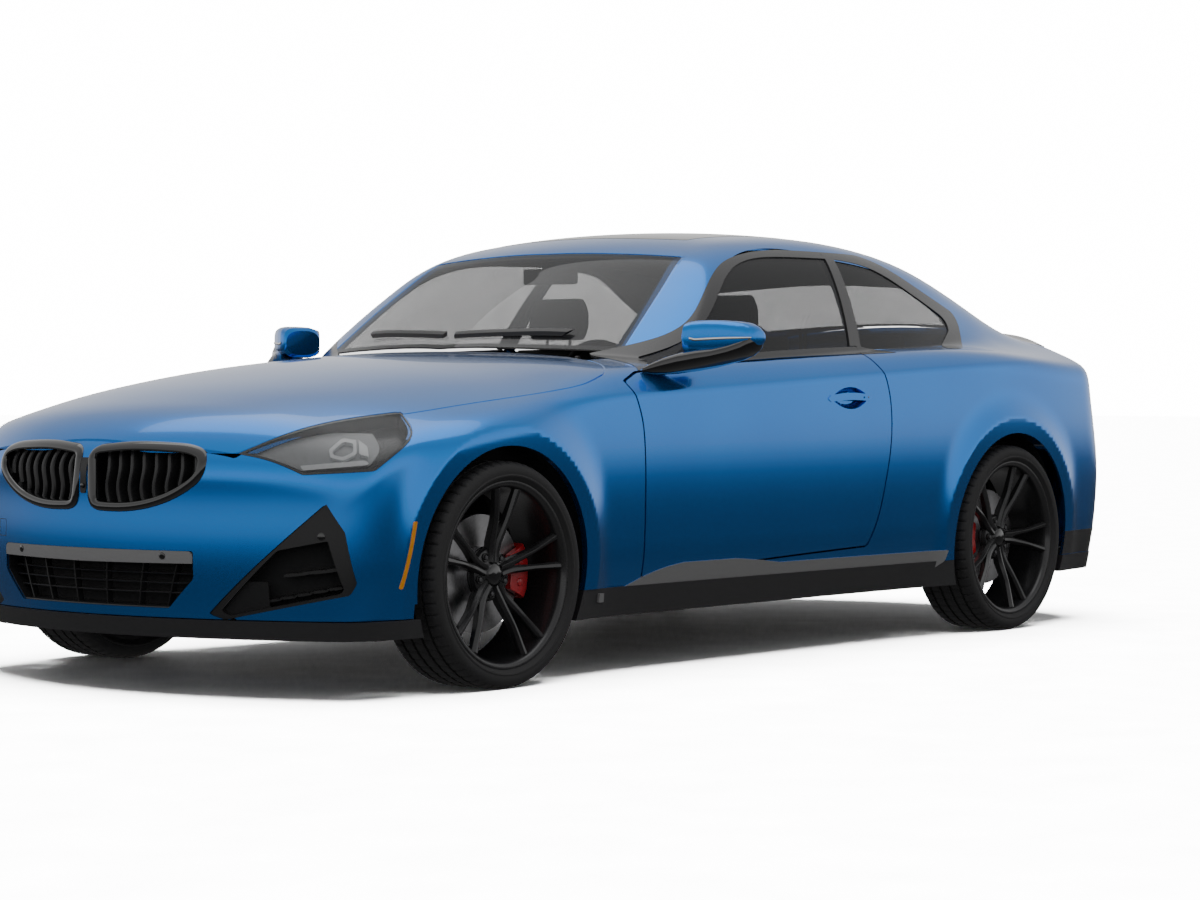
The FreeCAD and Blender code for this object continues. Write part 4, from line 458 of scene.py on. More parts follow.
def shell(field, rays, level, cuts, depth, hem=None):
    """A trimmed skin with walls round its edge and, where it has a depth, an inner face."""
    start, way = rays
    rows, columns = start.shape[:2]
    points = meet(field, start.reshape(-1, 3), way.reshape(-1, 3), level)
    triangles = facing(points, grid_triangles(rows, columns), slope(field, points))
    for cut in cuts:
        points, triangles = trim(points, triangles, cut(points))
    normals = slope(field, points)
    return close(points, triangles, normals, depth, hem)


def close(points, triangles, normals, depth, hem=None):
    """Adds walls (and an inner face) to a sheet: returns points, faces and corner normals."""
    inward = -normals * depth if hem is None else hem(points, normals) * depth
    size = len(points)
    inner = points + inward
    edges = rims(triangles)
    walls = np.stack([edges[:, 1], edges[:, 0], edges[:, 0] + size, edges[:, 1] + size], 1)
    both = np.concatenate([points, inner])
    wall_normals = np.cross(both[walls[:, 1]] - both[walls[:, 0]],
                            both[walls[:, 3]] - both[walls[:, 0]])
    wall_normals /= np.linalg.norm(wall_normals, axis=1)[:, None] + 1e-9
    faces = [list(t) for t in triangles] + [list(t) for t in triangles[:, ::-1] + size]
    faces += [list(w) for w in walls]
    corners = np.concatenate([normals[triangles.ravel()], -normals[triangles[:, ::-1].ravel()],
                              np.repeat(wall_normals, 4, 0)])
    return both, faces, corners


def flip(part):
    """The same mesh on the car's other side, with faces and corner normals turned round."""
    points = part[0] * [1, -1, 1]
    turned = [face[::-1] for face in part[1]]
    if len(part) == 2:
        return points, turned
    order = []
    start = 0
    for face in turned:
        order.extend(range(start + len(face) - 1, start - 1, -1))
        start += len(face)
    return points, turned, (part[2] * [1, -1, 1])[order]


def joined(*parts):
    """Several meshes as one: points and faces, and corner normals where the parts have them."""
    points = []
    faces = []
    corners = []
    first = 0
    for part in parts:
        points.append(part[0])
        faces += [[i + first for i in face] for face in part[1]]
        corners += part[2:]
        first += len(part[0])
    if corners:
        return np.concatenate(points), faces, np.concatenate(corners)
    return np.concatenate(points), faces


def both_sides(part):
    """A mesh of the left side together with its mirror image."""
    return joined(part, flip(part))


def add_skin(name, built, material, body, nodes=()):
    """Adds a skin that carries its own corner normals."""
    points, faces, corners = built
    return add_mesh(name, points, faces, material, body, nodes, corners)


def section_rays(first, last, count, spine_z, targets, fine=14.0):
    """Rays in cross planes from the spine through the targets, filled in between them."""
    stations = np.linspace(first, last, count)
    guide = np.array(targets((first + last) / 2), float)
    places = np.concatenate([[0], np.cumsum(np.hypot(*np.diff(guide, axis=0).T))])
    at = np.linspace(0, places[-1], max(int(places[-1] / fine), 2))
    starts = []
    ways = []
    for x in stations:
        aim = np.array(targets(x), float)
        w = np.interp(at, places, aim[:, 0])
        z = np.interp(at, places, aim[:, 1]) - spine_z
        length = np.hypot(w, z)
        starts.append(np.tile([x, 0.0, spine_z], (len(at), 1)))
        ways.append(np.stack([0 * w, -w / length, z / length], 1))
    return np.array(starts), np.array(ways)


def inboard(points, normals):
    """A wall direction straight towards the centre plane."""
    return np.stack([0 * points[:, 0], -np.sign(points[:, 1]), 0 * points[:, 0]], 1)


def new_material(name):
    """An empty material with its nodes, its links and its main shader."""
    material = bpy.data.materials.new(name)
    material.use_nodes = True
    nodes = material.node_tree.nodes
    shader = nodes["Principled BSDF"]
    return material, nodes, material.node_tree.links, shader


def coordinates(nodes):
    """The object's own coordinates, as a shader output."""
    return nodes.new("ShaderNodeTexCoord").outputs["Object"]


def car_paint():
    """Metallic blue under a clear coat, with fine flakes."""
    material, nodes, links, shader = new_material("paint_blue")
    vector = coordinates(nodes)
    flakes = nodes.new("ShaderNodeTexVoronoi")
    flakes.inputs["Scale"].default_value = 900.0
    links.new(vector, flakes.inputs["Vector"])
    drift = nodes.new("ShaderNodeTexNoise")
    drift.inputs["Scale"].default_value = 3.0
    links.new(vector, drift.inputs["Vector"])
    tone = nodes.new("ShaderNodeValToRGB")
    tone.color_ramp.elements[0].color = (0.003, 0.190, 0.68, 1)
    tone.color_ramp.elements[1].color = (0.006, 0.260, 0.84, 1)
    mix = nodes.new("ShaderNodeMix")
    mix.data_type = "FLOAT"
    mix.inputs["Factor"].default_value = 0.5
    links.new(flakes.outputs["Distance"], mix.inputs["A"])
    links.new(drift.outputs["Fac"], mix.inputs["B"])
    links.new(mix.outputs["Result"], tone.inputs["Fac"])
    links.new(tone.outputs["Color"], shader.inputs["Base Color"])
    shader.inputs["Metallic"].default_value = 0.92
    shader.inputs["Roughness"].default_value = 0.20
    shader.inputs["Coat Weight"].default_value = 0.8
    shader.inputs["Coat Roughness"].default_value = 0.02
    shader.inputs["Coat IOR"].default_value = 1.5
    return material


PAINT = car_paint()


def side_targets(x):
    """(width, height) places on a side, from the sill to the roof, at one station."""
    wide = float(half_width(x))
    line = float(crease(x))
    hip = 940 + (x - FA - 671) * 0.0345
    inner = float(cabin_width(x))
    return [(wide - 60, 190), (wide, 345), (wide, 600), (wide, 780), (wide - 4, line - 14),
            (wide - 8, line + 12), (inner + 10, hip + 14), (inner, hip + 34),
            (inner - 90, 1130), (inner - 160, 1250), (inner * 0.68, 1350),
            (inner * 0.44, 1390)]


hood_gap = in_plan(mirrored_ring(HOOD_HALF), GAP)
screen_plan = in_plan(mirrored_ring(WINDSCREEN_HALF))
roof_plan = in_plan(mirrored_ring(ROOF_HALF))
rear_window_plan = in_plan(mirrored_ring(REAR_WINDOW_HALF))
trunk_gap = in_plan(mirrored_ring(TRUNK_HALF), GAP)
door_gap = in_side(DOOR_RING, GAP)
rear_bumper_side = in_side(REAR_BUMPER_TOP)


def cowl_room(p):
    """Positive in the space over the cowl, between the hood and the windscreen."""
    return np.minimum.reduce([p[:, 0] - FA - 500, FA + 860 - p[:, 0], 640 - np.abs(p[:, 1]),
                              p[:, 2] - 800])


FENDER_RING = straight([(FA - 900, 100), (FA + 662, 100), (FA + 662, 888), (FA + 575, 915),
                        (FA + 575, 1500), (FA - 900, 1500)])
fender_side = in_side(FENDER_RING)
side_rays = section_rays(FA + 560, TAIL - 140, 205, SPINE_Z, side_targets)
side_cuts = [above(SILL_Z), off(fender_side), off(rear_bumper_side), off(door_gap),
             off(in_side(WINDOW_RING, GAP)), off(in_side(QUARTER_RING)), wheel_cut(RA),
             off(screen_plan), off(roof_plan), off(rear_window_plan), off(trunk_gap),
             off(hood_gap), off(in_rear_corner(TAIL_LAMP_RING)), cowl_room]
body_side = shell(whole_body, side_rays, 0.0, side_cuts, 40.0, inboard)
add_skin("side_panels", both_sides(body_side), PAINT, "car_body", ["body_sides"])

# Doors: a painted steel skin folded round the door's frame, which hangs on two hinges at its
# front edge. The skin has a hole where the handle's recess sits.

HANDLE_RECESS_RING = runs(
    [(FA + 1700, 800), (FA + 1800, 798), (FA + 1862, 830)],
    [(FA + 1800, 858), (FA + 1700, 857), (FA + 1638, 828)])
door_side = in_side(DOOR_RING)


def door_targets(x):
    """(width, height) places on a door's skin, from the sill to the glass."""
    wide = float(half_width(x))
    line = float(crease(x))
    return [(wide - 40, 250), (wide, 345), (wide, 460), (wide, 600), (wide, 760),
            (wide - 4, line - 14), (wide - 8, line + 12), (wide - 40, line + 56),
            (wide - 66, line + 96)]


def to_hand(part, hand):
    """The left side's mesh, or its mirror image for the right."""
    return part if hand == "left" else flip(part)


door = shell(lower_body, section_rays(FA + 560, RA - 720, 110, SPINE_Z, door_targets), 0.0,
             [door_side, off(in_side(HANDLE_RECESS_RING))], 60.0, inboard)
for hand in ("left", "right"):
    add_skin("door_panel_" + hand, to_hand(door, hand), PAINT, "door_%s_body" % hand,
             ["door_" + hand])

# Front fenders: painted steel, bolted on along the hood's gap and at the door's pillar, and
# open round the wheel.


def in_corner(ring, gap=0.0):
    """An outline seen square to the nose's left corner."""
    loop = outline(ring)
    return lambda p: distance(loop, (p[:, 0] - p[:, 1]) * math.sqrt(0.5), p[:, 2]) - gap


BUMPER_RING = runs(
    [(FA - 372, 330), (FA - 330, 500)],
    [(FA - 195, 662)],
    [(FA - 239, 692), (FA - 385, 722)],
    [(FA - 330, 850)],
    [(NOSE - 300, 850)],
    [(NOSE - 300, 100)],
    [(FA - 372, 100)])
LAMP_RING = runs(
    [(-991, 752), (-851, 782), (-705, 800)],
    [(-675, 744), (-730, 681)],
    [(-787, 637)],
    [(-984, 626)],
    [(-1079, 665), (-1167, 683)])
bumper_side = in_side(BUMPER_RING)
lamp_corner = in_corner(LAMP_RING)


def fender_targets(x):
    """(width, height) places on a front fender, from the sill to the hood."""
    wide = float(half_width(x))
    line = float(crease(x))
    return [(wide - 40, 200), (wide - 12, 280), (wide, 345), (wide, 430), (wide, 520),
            (wide, 600), (wide, 690), (wide, 760), (wide - 4, line - 14), (wide - 8, line + 12),
            (wide - 50, line + 50), (wide - 130, line + 90)]


fender = shell(lower_body, section_rays(FA - 500, FA + 660, 100, SPINE_Z, fender_targets), 0.0,
               [above(SILL_Z), fender_side, off(door_gap), off(hood_gap), wheel_cut(FA),
                off(bumper_side), off(lamp_corner)], 20.0, inboard)
add_skin("fenders", both_sides(fender), PAINT, "car_body", ["front_fenders"])

# Hood: a painted aluminium panel with a folded hem, hinged under the windscreen's foot and
# latched behind the grilles.

HOOD_FRONT_Z = 684.0


def downward(points, normals):
    """A wall direction straight down."""
    return np.tile([0.0, 0.0, -1.0], (len(points), 1))


hood_plan = in_plan(mirrored_ring(HOOD_HALF))


def flipped(test):
    """The same test on the car's other side."""
    return lambda p: test(p * [1, -1, 1])


def hood_targets(x):
    """(width, height) places over the hood from side to side, the same at all stations."""
    return [(810, 690), (800, 780), (740, 860), (640, 900), (480, 930), (320, 940),
            (160, 950), (0, 960), (-160, 950), (-320, 940), (-480, 930), (-640, 900),
            (-740, 860), (-800, 780), (-810, 690)]


hood = shell(lower_body, section_rays(NOSE + 40, FA + 720, 100, 500.0, hood_targets, 20.0), 0.0,
             [hood_plan, above(HOOD_FRONT_Z), off(lamp_corner), off(flipped(lamp_corner))], 24.0,
             downward)
hood[0][:, 2] = np.maximum(hood[0][:, 2], HOOD_FRONT_Z)
add_skin("hood_panel", hood, PAINT, "hood_body", ["hood"])

# Roof: a painted steel panel welded between the two roof rails.

ROOF_SPINE_Z = 700.0


def roof_targets(x):
    """(width, height) places over the roof from side to side, the same at all stations."""
    return [(780, 860), (740, 1000), (690, 1120), (640, 1210), (600, 1260), (520, 1310),
            (400, 1350), (200, 1390), (0, 1400), (-200, 1390), (-400, 1350), (-520, 1310),
            (-600, 1260), (-640, 1210), (-690, 1120), (-740, 1000), (-780, 860)]


roof_grid = section_rays(FA + 680, RA + 600, 160, ROOF_SPINE_Z, roof_targets, 20.0)
add_skin("roof_skin", shell(whole_body, roof_grid, 0.0, [roof_plan], 24.0, downward), PAINT,
         "car_body", ["roof_panel"])

# Windscreen and rear window: laminated glass bonded to the body, with a black printed border
# round the edge that hides the glue.

GRAIN_HEIGHT = 0.0004
GLASS_ALPHA = 0.64


def surface(name, colour, rough=0.5, metal=0.0, vary=0.06, grain=400.0, bump=0.0, coat=0.0,
            coat_rough=0.03, rough_vary=0.05, kind="noise"):
    """A finish with fine colour and gloss variation and, if wanted, a grain in relief."""
    material, nodes, links, shader = new_material(name)
    vector = coordinates(nodes)
    if kind == "cells":
        texture = nodes.new("ShaderNodeTexVoronoi")
        height = texture.outputs["Distance"]
    else:
        texture = nodes.new("ShaderNodeTexNoise")
        texture.inputs["Detail"].default_value = 3.0
        height = texture.outputs["Fac"]
    texture.inputs["Scale"].default_value = grain
    links.new(vector, texture.inputs["Vector"])
    ramp_node = nodes.new("ShaderNodeValToRGB")
    low = [c * (1 - vary) for c in colour]
    high = [min(c * (1 + vary), 1.0) for c in colour]
    ramp_node.color_ramp.elements[0].position = 0.3
    ramp_node.color_ramp.elements[0].color = (*low, 1)
    ramp_node.color_ramp.elements[1].position = 0.7
    ramp_node.color_ramp.elements[1].color = (*high, 1)
    links.new(height, ramp_node.inputs["Fac"])
    links.new(ramp_node.outputs["Color"], shader.inputs["Base Color"])
    shift = nodes.new("ShaderNodeMapRange")
    shift.inputs["To Min"].default_value = max(rough - rough_vary, 0.0)
    shift.inputs["To Max"].default_value = min(rough + rough_vary, 1.0)
    links.new(height, shift.inputs["Value"])
    links.new(shift.outputs["Result"], shader.inputs["Roughness"])
    shader.inputs["Metallic"].default_value = metal
    shader.inputs["Coat Weight"].default_value = coat
    shader.inputs["Coat Roughness"].default_value = coat_rough
    if bump:
        relief = nodes.new("ShaderNodeBump")
        relief.inputs["Strength"].default_value = bump
        relief.inputs["Distance"].default_value = GRAIN_HEIGHT
        links.new(height, relief.inputs["Height"])
        links.new(relief.outputs["Normal"], shader.inputs["Normal"])
    return material


def clear_glass(name, tint, alpha):
    """Thin tinted glazing: the view goes straight through and the coat mirrors the studio."""
    material, nodes, links, shader = new_material(name)
    vector = coordinates(nodes)
    noise = nodes.new("ShaderNodeTexNoise")
    noise.inputs["Scale"].default_value = 6.0
    links.new(vector, noise.inputs["Vector"])
    tone = nodes.new("ShaderNodeValToRGB")
    tone.color_ramp.elements[0].color = (*[c * 0.9 for c in tint], 1)
    tone.color_ramp.elements[1].color = (*tint, 1)
    links.new(noise.outputs["Fac"], tone.inputs["Fac"])
    links.new(tone.outputs["Color"], shader.inputs["Base Color"])
    shader.inputs["Roughness"].default_value = 0.02
    shader.inputs["Specular IOR Level"].default_value = 0.4
    shader.inputs["Alpha"].default_value = alpha
    return material


GLASS = clear_glass("glass_tinted", (0.030, 0.031, 0.033), GLASS_ALPHA)
GLOSS_BLACK = surface("gloss_black", (0.006, 0.006, 0.007), 0.10, grain=60, coat=1.0)
add_skin("screen_front", shell(whole_body, roof_grid, 2.0, [screen_plan], 4.5), GLASS,
         "car_body", ["windshield"])
for name, ring, node_name in (("windscreen", WINDSCREEN_HALF, "windshield"),
                              ("rear_window", REAR_WINDOW_HALF, "rear_window")):
    border = [in_plan(mirrored_ring(ring), -1.0), off(in_plan(mirrored_ring(ring), -24.0))]
    add_skin(name + "_border", shell(whole_body, roof_grid, 6.8, border, 1.5), GLOSS_BLACK,
             "car_body", [node_name])
add_skin("screen_rear", shell(whole_body, roof_grid, 2.0, [rear_window_plan], 4.5), GLASS,
         "car_body", ["rear_window"])

# Boot lid: a painted steel panel on two hinges under the rear window, with room for the inner
# halves of the tail lamps.

LID_BACK = 6


def in_front(ring, gap=0.0):
    """A test on points: distance outside a front-view outline, less the gap."""
    loop = outline(ring)
    return lambda p: distance(loop, p[:, 1], p[:, 2]) - gap


LID_LAMP_RING = runs(
    [(-560, 905), (-640, 906)],
    [(-640, 816)],
    [(-560, 826), (-468, 850)],
    [(-468, 896)])


def deck_rays(hub_x, hub_z, half, count, first, last, turns):
    """Rays that fan out in each lengthways plane from a line across the car."""
    offsets = np.linspace(-half, half, count)[:, None]
    angles = np.radians(np.linspace(first, last, turns))[None, :]
    start = np.stack(np.broadcast_arrays(hub_x, offsets, hub_z + 0 * angles), -1)
    way = np.stack(np.broadcast_arrays(np.cos(angles), 0 * offsets, np.sin(angles)), -1)
    return start.astype(float), way.astype(float)


lid_plan = in_plan(mirrored_ring([[(x + LID_BACK, y) for x, y in run] for run in TRUNK_HALF]))
lid_lamp = in_front(LID_LAMP_RING, 3.0)
lid = shell(whole_body, deck_rays(RA + 480, 720.0, 680, 90, 96, -8, 90), 0.0,
            [lid_plan, above(668), off(in_side(REAR_BUMPER_TOP, GAP)), off(lid_lamp),
             off(flipped(lid_lamp))], 24.0)
add_skin("lid_panel", lid, PAINT, "trunk_lid_body", ["trunk_lid"])

# Side glass: a tinted pane in each door, held by the door's seals, and a fixed pane bonded
# into each rear quarter.

GLASS_SPINE_Z = 900.0


def window_targets(x):
    """(width, height) places up the side glass at one station."""
    inner = float(cabin_width(x))
    return [(inner + 12, 900), (inner + 4, 940), (inner - 25, 1030), (inner - 62, 1120),
            (inner - 100, 1200), (inner - 150, 1280), (inner - 180, 1340)]


door_glass = shell(cabin, section_rays(FA + 640, RA - 10, 110, GLASS_SPINE_Z, window_targets), 4.0,
                   [in_side(WINDOW_RING)], 5.0)
for hand in ("left", "right"):
    add_skin("door_glass_" + hand, to_hand(door_glass, hand), GLASS, "door_%s_body" % hand,
             ["door_window_" + hand])
quarter = shell(whole_body, side_rays, 3.0, [in_side(QUARTER_RING)], 5.0)
add_skin("quarter_glass", both_sides(quarter), GLASS, "car_body", ["quarter_windows"])

# Bumper covers: painted plastic skins clipped to the fenders and screwed on from below, with
# openings for the grilles, intakes and lamps in the front one.


def front_mirrored(half):
    """The same for an outline in (y, z), seen from the front or rear."""
    return half + [[(-a, b) for a, b in reversed(run)] for run in reversed(half)]


KIDNEY_RING = runs(
    [(-21, 558)],
    [(-33, 530), (-64, 518)],
    [(-150, 517), (-290, 540), (-385, 584), (-424, 622), (-431, 655), (-421, 685), (-385, 704),
     (-300, 714), (-160, 716), (-50, 707)],
    [(-22, 692), (-13, 664)])
INTAKE_HALF = runs(
    (0, 412),
    [(-395, 412)],
    [(-395, 335)],
    [(-308, 250)],
    [(0, 250)])
SIDE_INTAKE_RING = straight([(-764, 549), (-812, 470), (-835, 329), (-819, 296), (-478, 222),
                             (-432, 238)])


def fan_rays(hub_x, first, last, count, low, high, levels):
    """Level rays that fan out from an upright line, first to last in degrees from the nose."""
    angles = np.radians(np.linspace(first, last, count))[:, None]
    heights = np.linspace(low, high, levels)[None, :]
    start = np.stack(np.broadcast_arrays(hub_x + 0 * angles, 0.0, heights), -1)
    way = np.stack(np.broadcast_arrays(-np.cos(angles), -np.sin(angles), 0 * heights), -1)
    return start.astype(float), way.astype(float)


kidney = in_front(KIDNEY_RING)
side_intake = in_front(SIDE_INTAKE_RING)
intake = in_front(front_mirrored(INTAKE_HALF))
front_grid = fan_rays(FA - 40, -84, 84, 260, 160, 785, 70)
front_cuts = [bumper_side, off(hood_gap), above(224), wheel_cut(FA), off(kidney),
              off(flipped(kidney)), off(side_intake), off(flipped(side_intake)), off(intake),
              off(lamp_corner), off(flipped(lamp_corner))]
add_skin("bumper_front", shell(lower_body, front_grid, 0.0, front_cuts, 9.0), PAINT, "car_body",
         ["front_bumper"])
rear_grid = fan_rays(RA + 60, 98, 262, 170, 200, 800, 46)
add_skin("bumper_rear", shell(lower_body, rear_grid, 0.0,
                              [rear_bumper_side, wheel_cut(RA), above(250)], 9.0), PAINT,
         "car_body", ["rear_bumper"])

# Upper grilles: a rounded gloss-black plastic frame in each opening, with eight upright slats
# whose front edges wave, in front of a dark mesh. Frames and slats clip into the bumper cover.

SLAT_COUNT = 8
SLAT_FIRST_Y = -72.0
SLAT_PITCH = 43.5
SLAT_WAVE = 6.5
SLAT_DEPTH = 17.0
SATIN_BLACK = surface("satin_black", (0.018, 0.018, 0.019), 0.38, grain=500, bump=0.1)
LINER = surface("liner_felt", (0.014, 0.014, 0.015), 0.95, grain=1200, bump=0.6)


def inset(loop, gap):
    """A closed outline moved inwards by the gap, corner by corner."""
    back = loop - np.roll(loop, 1, 0)
    ahead = np.roll(loop, -1, 0) - loop
    back = back / np.linalg.norm(back, axis=1)[:, None]
    ahead = ahead / np.linalg.norm(ahead, axis=1)[:, None]
    nearby = np.roll(loop, -1, 0)
    turn = np.sign(np.sum(loop[:, 0] * nearby[:, 1] - nearby[:, 0] * loop[:, 1]))
    total = back + ahead
    normal = np.stack([-total[:, 1], total[:, 0]], 1) * turn
    return loop + normal * (2 * gap / np.sum(normal ** 2, axis=1))[:, None]


def grid_faces(rows, columns, close_rows=False, close_columns=False):
    """Four-sided faces of a grid of points, which may close on itself either way."""
    index = np.arange(rows * columns).reshape(rows, columns)
    if close_rows:
        index = np.concatenate([index, index[:1]])
    if close_columns:
        index = np.concatenate([index, index[:, :1]], 1)
    quads = np.stack([index[:-1, :-1], index[:-1, 1:], index[1:, 1:], index[1:, :-1]], -1)
    return quads.reshape(-1, 4)


def outwards(points, faces, middle):
    """Turns a whole mesh round if most of its faces look towards the middle."""
    points = np.asarray(points)
    quads = np.array([face[:3] for face in faces])
    a, b, c = (points[quads[:, k]] for k in range(3))
    normal = np.cross(b - a, c - a)
    if np.sum(normal * ((a + b + c) / 3 - middle)) < 0:
        return [list(face)[::-1] for face in faces]
    return [list(face) for face in faces]


def loft(rows, caps=2, middle=None):
    """Rings of equal length joined into one body, the first and last ring capped if asked.

    All faces look away from the middle, which is the mean of the points unless it is given.
    """
    size = len(rows[0])
    points = np.asarray(rows, float).reshape(-1, 3)
    faces = grid_faces(len(rows), size, close_columns=True).tolist()
    ends = [list(range(size)), list(range(len(points) - size, len(points)))]
    middle = points.mean(0) if middle is None else middle
    return points, outwards(points, faces + ends[:caps], middle)


def add_part(name, part, material, body, nodes=(), bevel=0.0, angle=35.0):
    """Adds a mesh that is smooth except where its faces meet at more than the angle."""
    thing = add_mesh(name, part[0], part[1], material, body, nodes)
    if bevel:
        edge = thing.modifiers.new("bevel", "BEVEL")
        edge.width = bevel * MM
        edge.segments = 2
        edge.limit_method = "ANGLE"
        edge.angle_limit = math.radians(angle)
        edge.harden_normals = False
    thing.data.set_sharp_from_angle(angle=math.radians(angle))
    return thing


def on_nose(places, level):
    """Points on the nose over (y, z) places, at a depth below the skin."""
    start = np.stack([np.full(len(places), -1650.0), places[:, 0], places[:, 1]], 1)
    return meet(lower_body, start, np.tile([-1.0, 0.0, 0.0], (len(places), 1)), level)


def band(loop, steps, place):
    """A strip round an outline through (inset, depth) steps."""
    rows = [place(inset(loop, gap), level) for gap, level in steps]
    points = np.concatenate(rows)
    faces = grid_faces(len(rows), len(loop), close_columns=True)
    first = np.array([face[:3] for face in faces])
    a, b, c = (points[first[:, k]] for k in range(3))
    if np.sum(np.cross(b - a, c - a)[:, 0]) > 0:
        faces = faces[:, ::-1]
    return points, [list(face) for face in faces]


def stud(centre, way, radius, height, count=20):
    """A low dome of radius and height that stands on a point along a direction."""
    way = np.array(way, float)
    way /= np.linalg.norm(way)
    side = np.cross(way, [0.0, 0.0, 1.0] if abs(way[2]) < 0.9 else [1.0, 0.0, 0.0])
    side /= np.linalg.norm(side)
    rise = np.cross(way, side)
    shape = [(1.0, -0.4), (1.0, 0.55), (0.92, 0.85), (0.7, 1.0), (0.35, 1.05), (0.001, 1.06)]
    angles = np.arange(count) / count * 2 * np.pi
    rows = [np.array(centre) + way * height * up
            + radius * out * (np.cos(angles)[:, None] * side + np.sin(angles)[:, None] * rise)
            for out, up in shape]
    return loft(rows, 0, np.array(centre) - way * height * 3)


FRAME_STEPS = [(0.3, 26), (0.3, 2), (1.2, -3), (4, -7), (9, -9), (16, -9.3), (22, -7.5), (26, -3),
               (28, 4), (29.5, 18), (31, 46)]
BRIDGE_RING = straight([(-14, 668), (-12, 566), (12, 566), (14, 668)])
kidney_loop = outline(KIDNEY_RING)
kidney_frame = band(kidney_loop, FRAME_STEPS, on_nose)
inner_loop = inset(kidney_loop, 29.0)
slat_list = []
for number in range(SLAT_COUNT):
    base = SLAT_FIRST_Y - SLAT_PITCH * number
    scan = np.linspace(500, 725, 226)
    lean = -8 * (690 - scan) / 130
    held = distance(inner_loop, base + lean, scan) < 0
    low, high = scan[held].min() - 2, scan[held].max() + 2
    up = np.linspace(low, high, 30)
    wave = SLAT_WAVE * np.sin((up - 545) / 130 * 2 * np.pi)
    middle = base - 8 * (690 - up) / 130 + wave
    places = np.stack([middle, up], 1)
    front = on_nose(places, SLAT_DEPTH)
    shape = [(-9, 8), (-7, 1.5), (-2, 0), (4, 1), (7, 5), (6.5, 34), (-8, 34)]
    rows = [front + np.array([deep, across, 0.0]) for across, deep in shape]
    slat_list.append(loft(np.stack(rows, 1), 0))
slats = joined(*slat_list)
add_part("upper_grille_frames", both_sides(kidney_frame), GLOSS_BLACK, "car_body", ["upper_grilles"])
add_part("upper_grille_slats", both_sides(slats), SATIN_BLACK, "car_body", ["upper_grilles"])
mesh_back = shell(lower_body, front_grid, 50.0, [in_front(KIDNEY_RING, -6.0)], 4.0)
add_skin("upper_grille_mesh", both_sides(mesh_back), LINER, "car_body",
         ["upper_grilles"])
add_skin("grille_bridge", shell(lower_body, front_grid, -2.0, [in_front(BRIDGE_RING)], 12.0),
         SATIN_BLACK, "car_body")
eye = on_nose(np.array([[0.0, 588.0]]), -2.0)[0]
add_part("grille_camera", stud(eye, (-1, 0, 0), 7.5, 5.0), GLOSS_BLACK, "car_body")

# Lower intake: a satin grey bar with two parking sensors over a black plastic grid and a dark
# mesh, clipped into the bumper cover's middle opening.

SATIN_GREY = surface("satin_grey", (0.24, 0.24, 0.245), 0.42, metal=0.3, grain=700, bump=0.15)
BAR_RING = runs(
    (0, 411.4),
    [(-376, 411.4)],
    [(-388, 409), (-393.5, 400)],
    [(-393.5, 377)],
    [(0, 374)])


def slim_bar(first, last, level, high, deep):
    """A flat blade across the intake between two (y, z) places, a little below the skin."""
    part = np.linspace(0, 1, 30)[:, None]
    places = np.array(first, float) * (1 - part) + np.array(last, float) * part
    front = on_nose(places, level)
    way = np.array(last, float) - np.array(first, float)
    side = np.array([0.0, -way[1], way[0]]) / np.hypot(*way)
    rows = [front + side * a + np.array([b, 0.0, 0.0])
            for a, b in ((-high, 2), (0, 0), (high, 2), (high, deep), (-high, deep))]
    return loft(np.stack(rows, 1))


bar = shell(lower_body, front_grid, -1.5, [in_front(front_mirrored(BAR_RING))], 16.0)
add_skin("sensor_bar", bar, SATIN_GREY, "car_body", ["lower_grilles"])
studs = []
for y in (-297.0, 297.0):
    spot = on_nose(np.array([[y, 397.0]]), -1.5)
    studs.append(stud(spot[0], slope(lower_body, spot)[0], 10.0, 2.2))
blades = [slim_bar((-372, z), (372, z), 26.0, 2.2, 20.0) for z in (347.0, 320.0, 292.0)]
blades += [slim_bar((y * 0.88, 252), (y, 373), 24.0, 2.2, 22.0)
           for y in (-322.0, -208.0, -70.0, 70.0, 208.0, 322.0)]
add_part("intake_grid", joined(*blades), SATIN_BLACK, "car_body", ["lower_grilles"])
intake_back = shell(lower_body, front_grid, 62.0, [in_front(front_mirrored(INTAKE_HALF), 4.0)], 4.0)
add_skin("intake_mesh", intake_back, LINER, "car_body", ["lower_grilles"])
intake_lip = band(outline(front_mirrored(INTAKE_HALF)), [(0.6, 0.5), (0.6, 6), (3.5, 7), (5, 12),
                                                         (6, 60)], on_nose)
add_part("intake_surround", intake_lip, SATIN_BLACK, "car_body", ["lower_grilles"])

# Side intakes: a satin-black plastic surround with a parking sensor, and a deep dark pocket
# with two fins, clipped into the bumper cover's outer openings.

FIN_CORNERS = ([(-640, 352), (-786, 372), (-788, 362), (-636, 342)],
               [(-540, 268), (-792, 322), (-794, 314), (-536, 259)])
HOLE_RING = straight([(-636, 418), (-768, 446), (-805, 312), (-796, 300), (-494, 234), (-468, 246)])
BACKING_RING = straight([(-600, 196), (-600, 330), (-400, 330), (-400, 196)])
hole = in_front(HOLE_RING)
surround = shell(lower_body, front_grid, 3.0, [in_front(SIDE_INTAKE_RING, -0.6), off(hole)], 14.0)
pocket = shell(lower_body, front_grid, 60.0, [in_front(HOLE_RING, 60.0), above(226),
                                              wheel_cut(FA, ARCH + 30)], 4.0)
fins = [shell(lower_body, front_grid, 22.0, [in_front(straight(corners))], 40.0)
        for corners in FIN_CORNERS]
add_skin("side_intake_surrounds", both_sides(surround), SATIN_BLACK, "car_body",
         ["lower_grilles"])
add_skin("side_intake_pockets", both_sides(pocket), LINER, "car_body",
         ["lower_grilles"])
backing = shell(lower_body, front_grid, 17.0, [in_front(BACKING_RING)], 4.0)
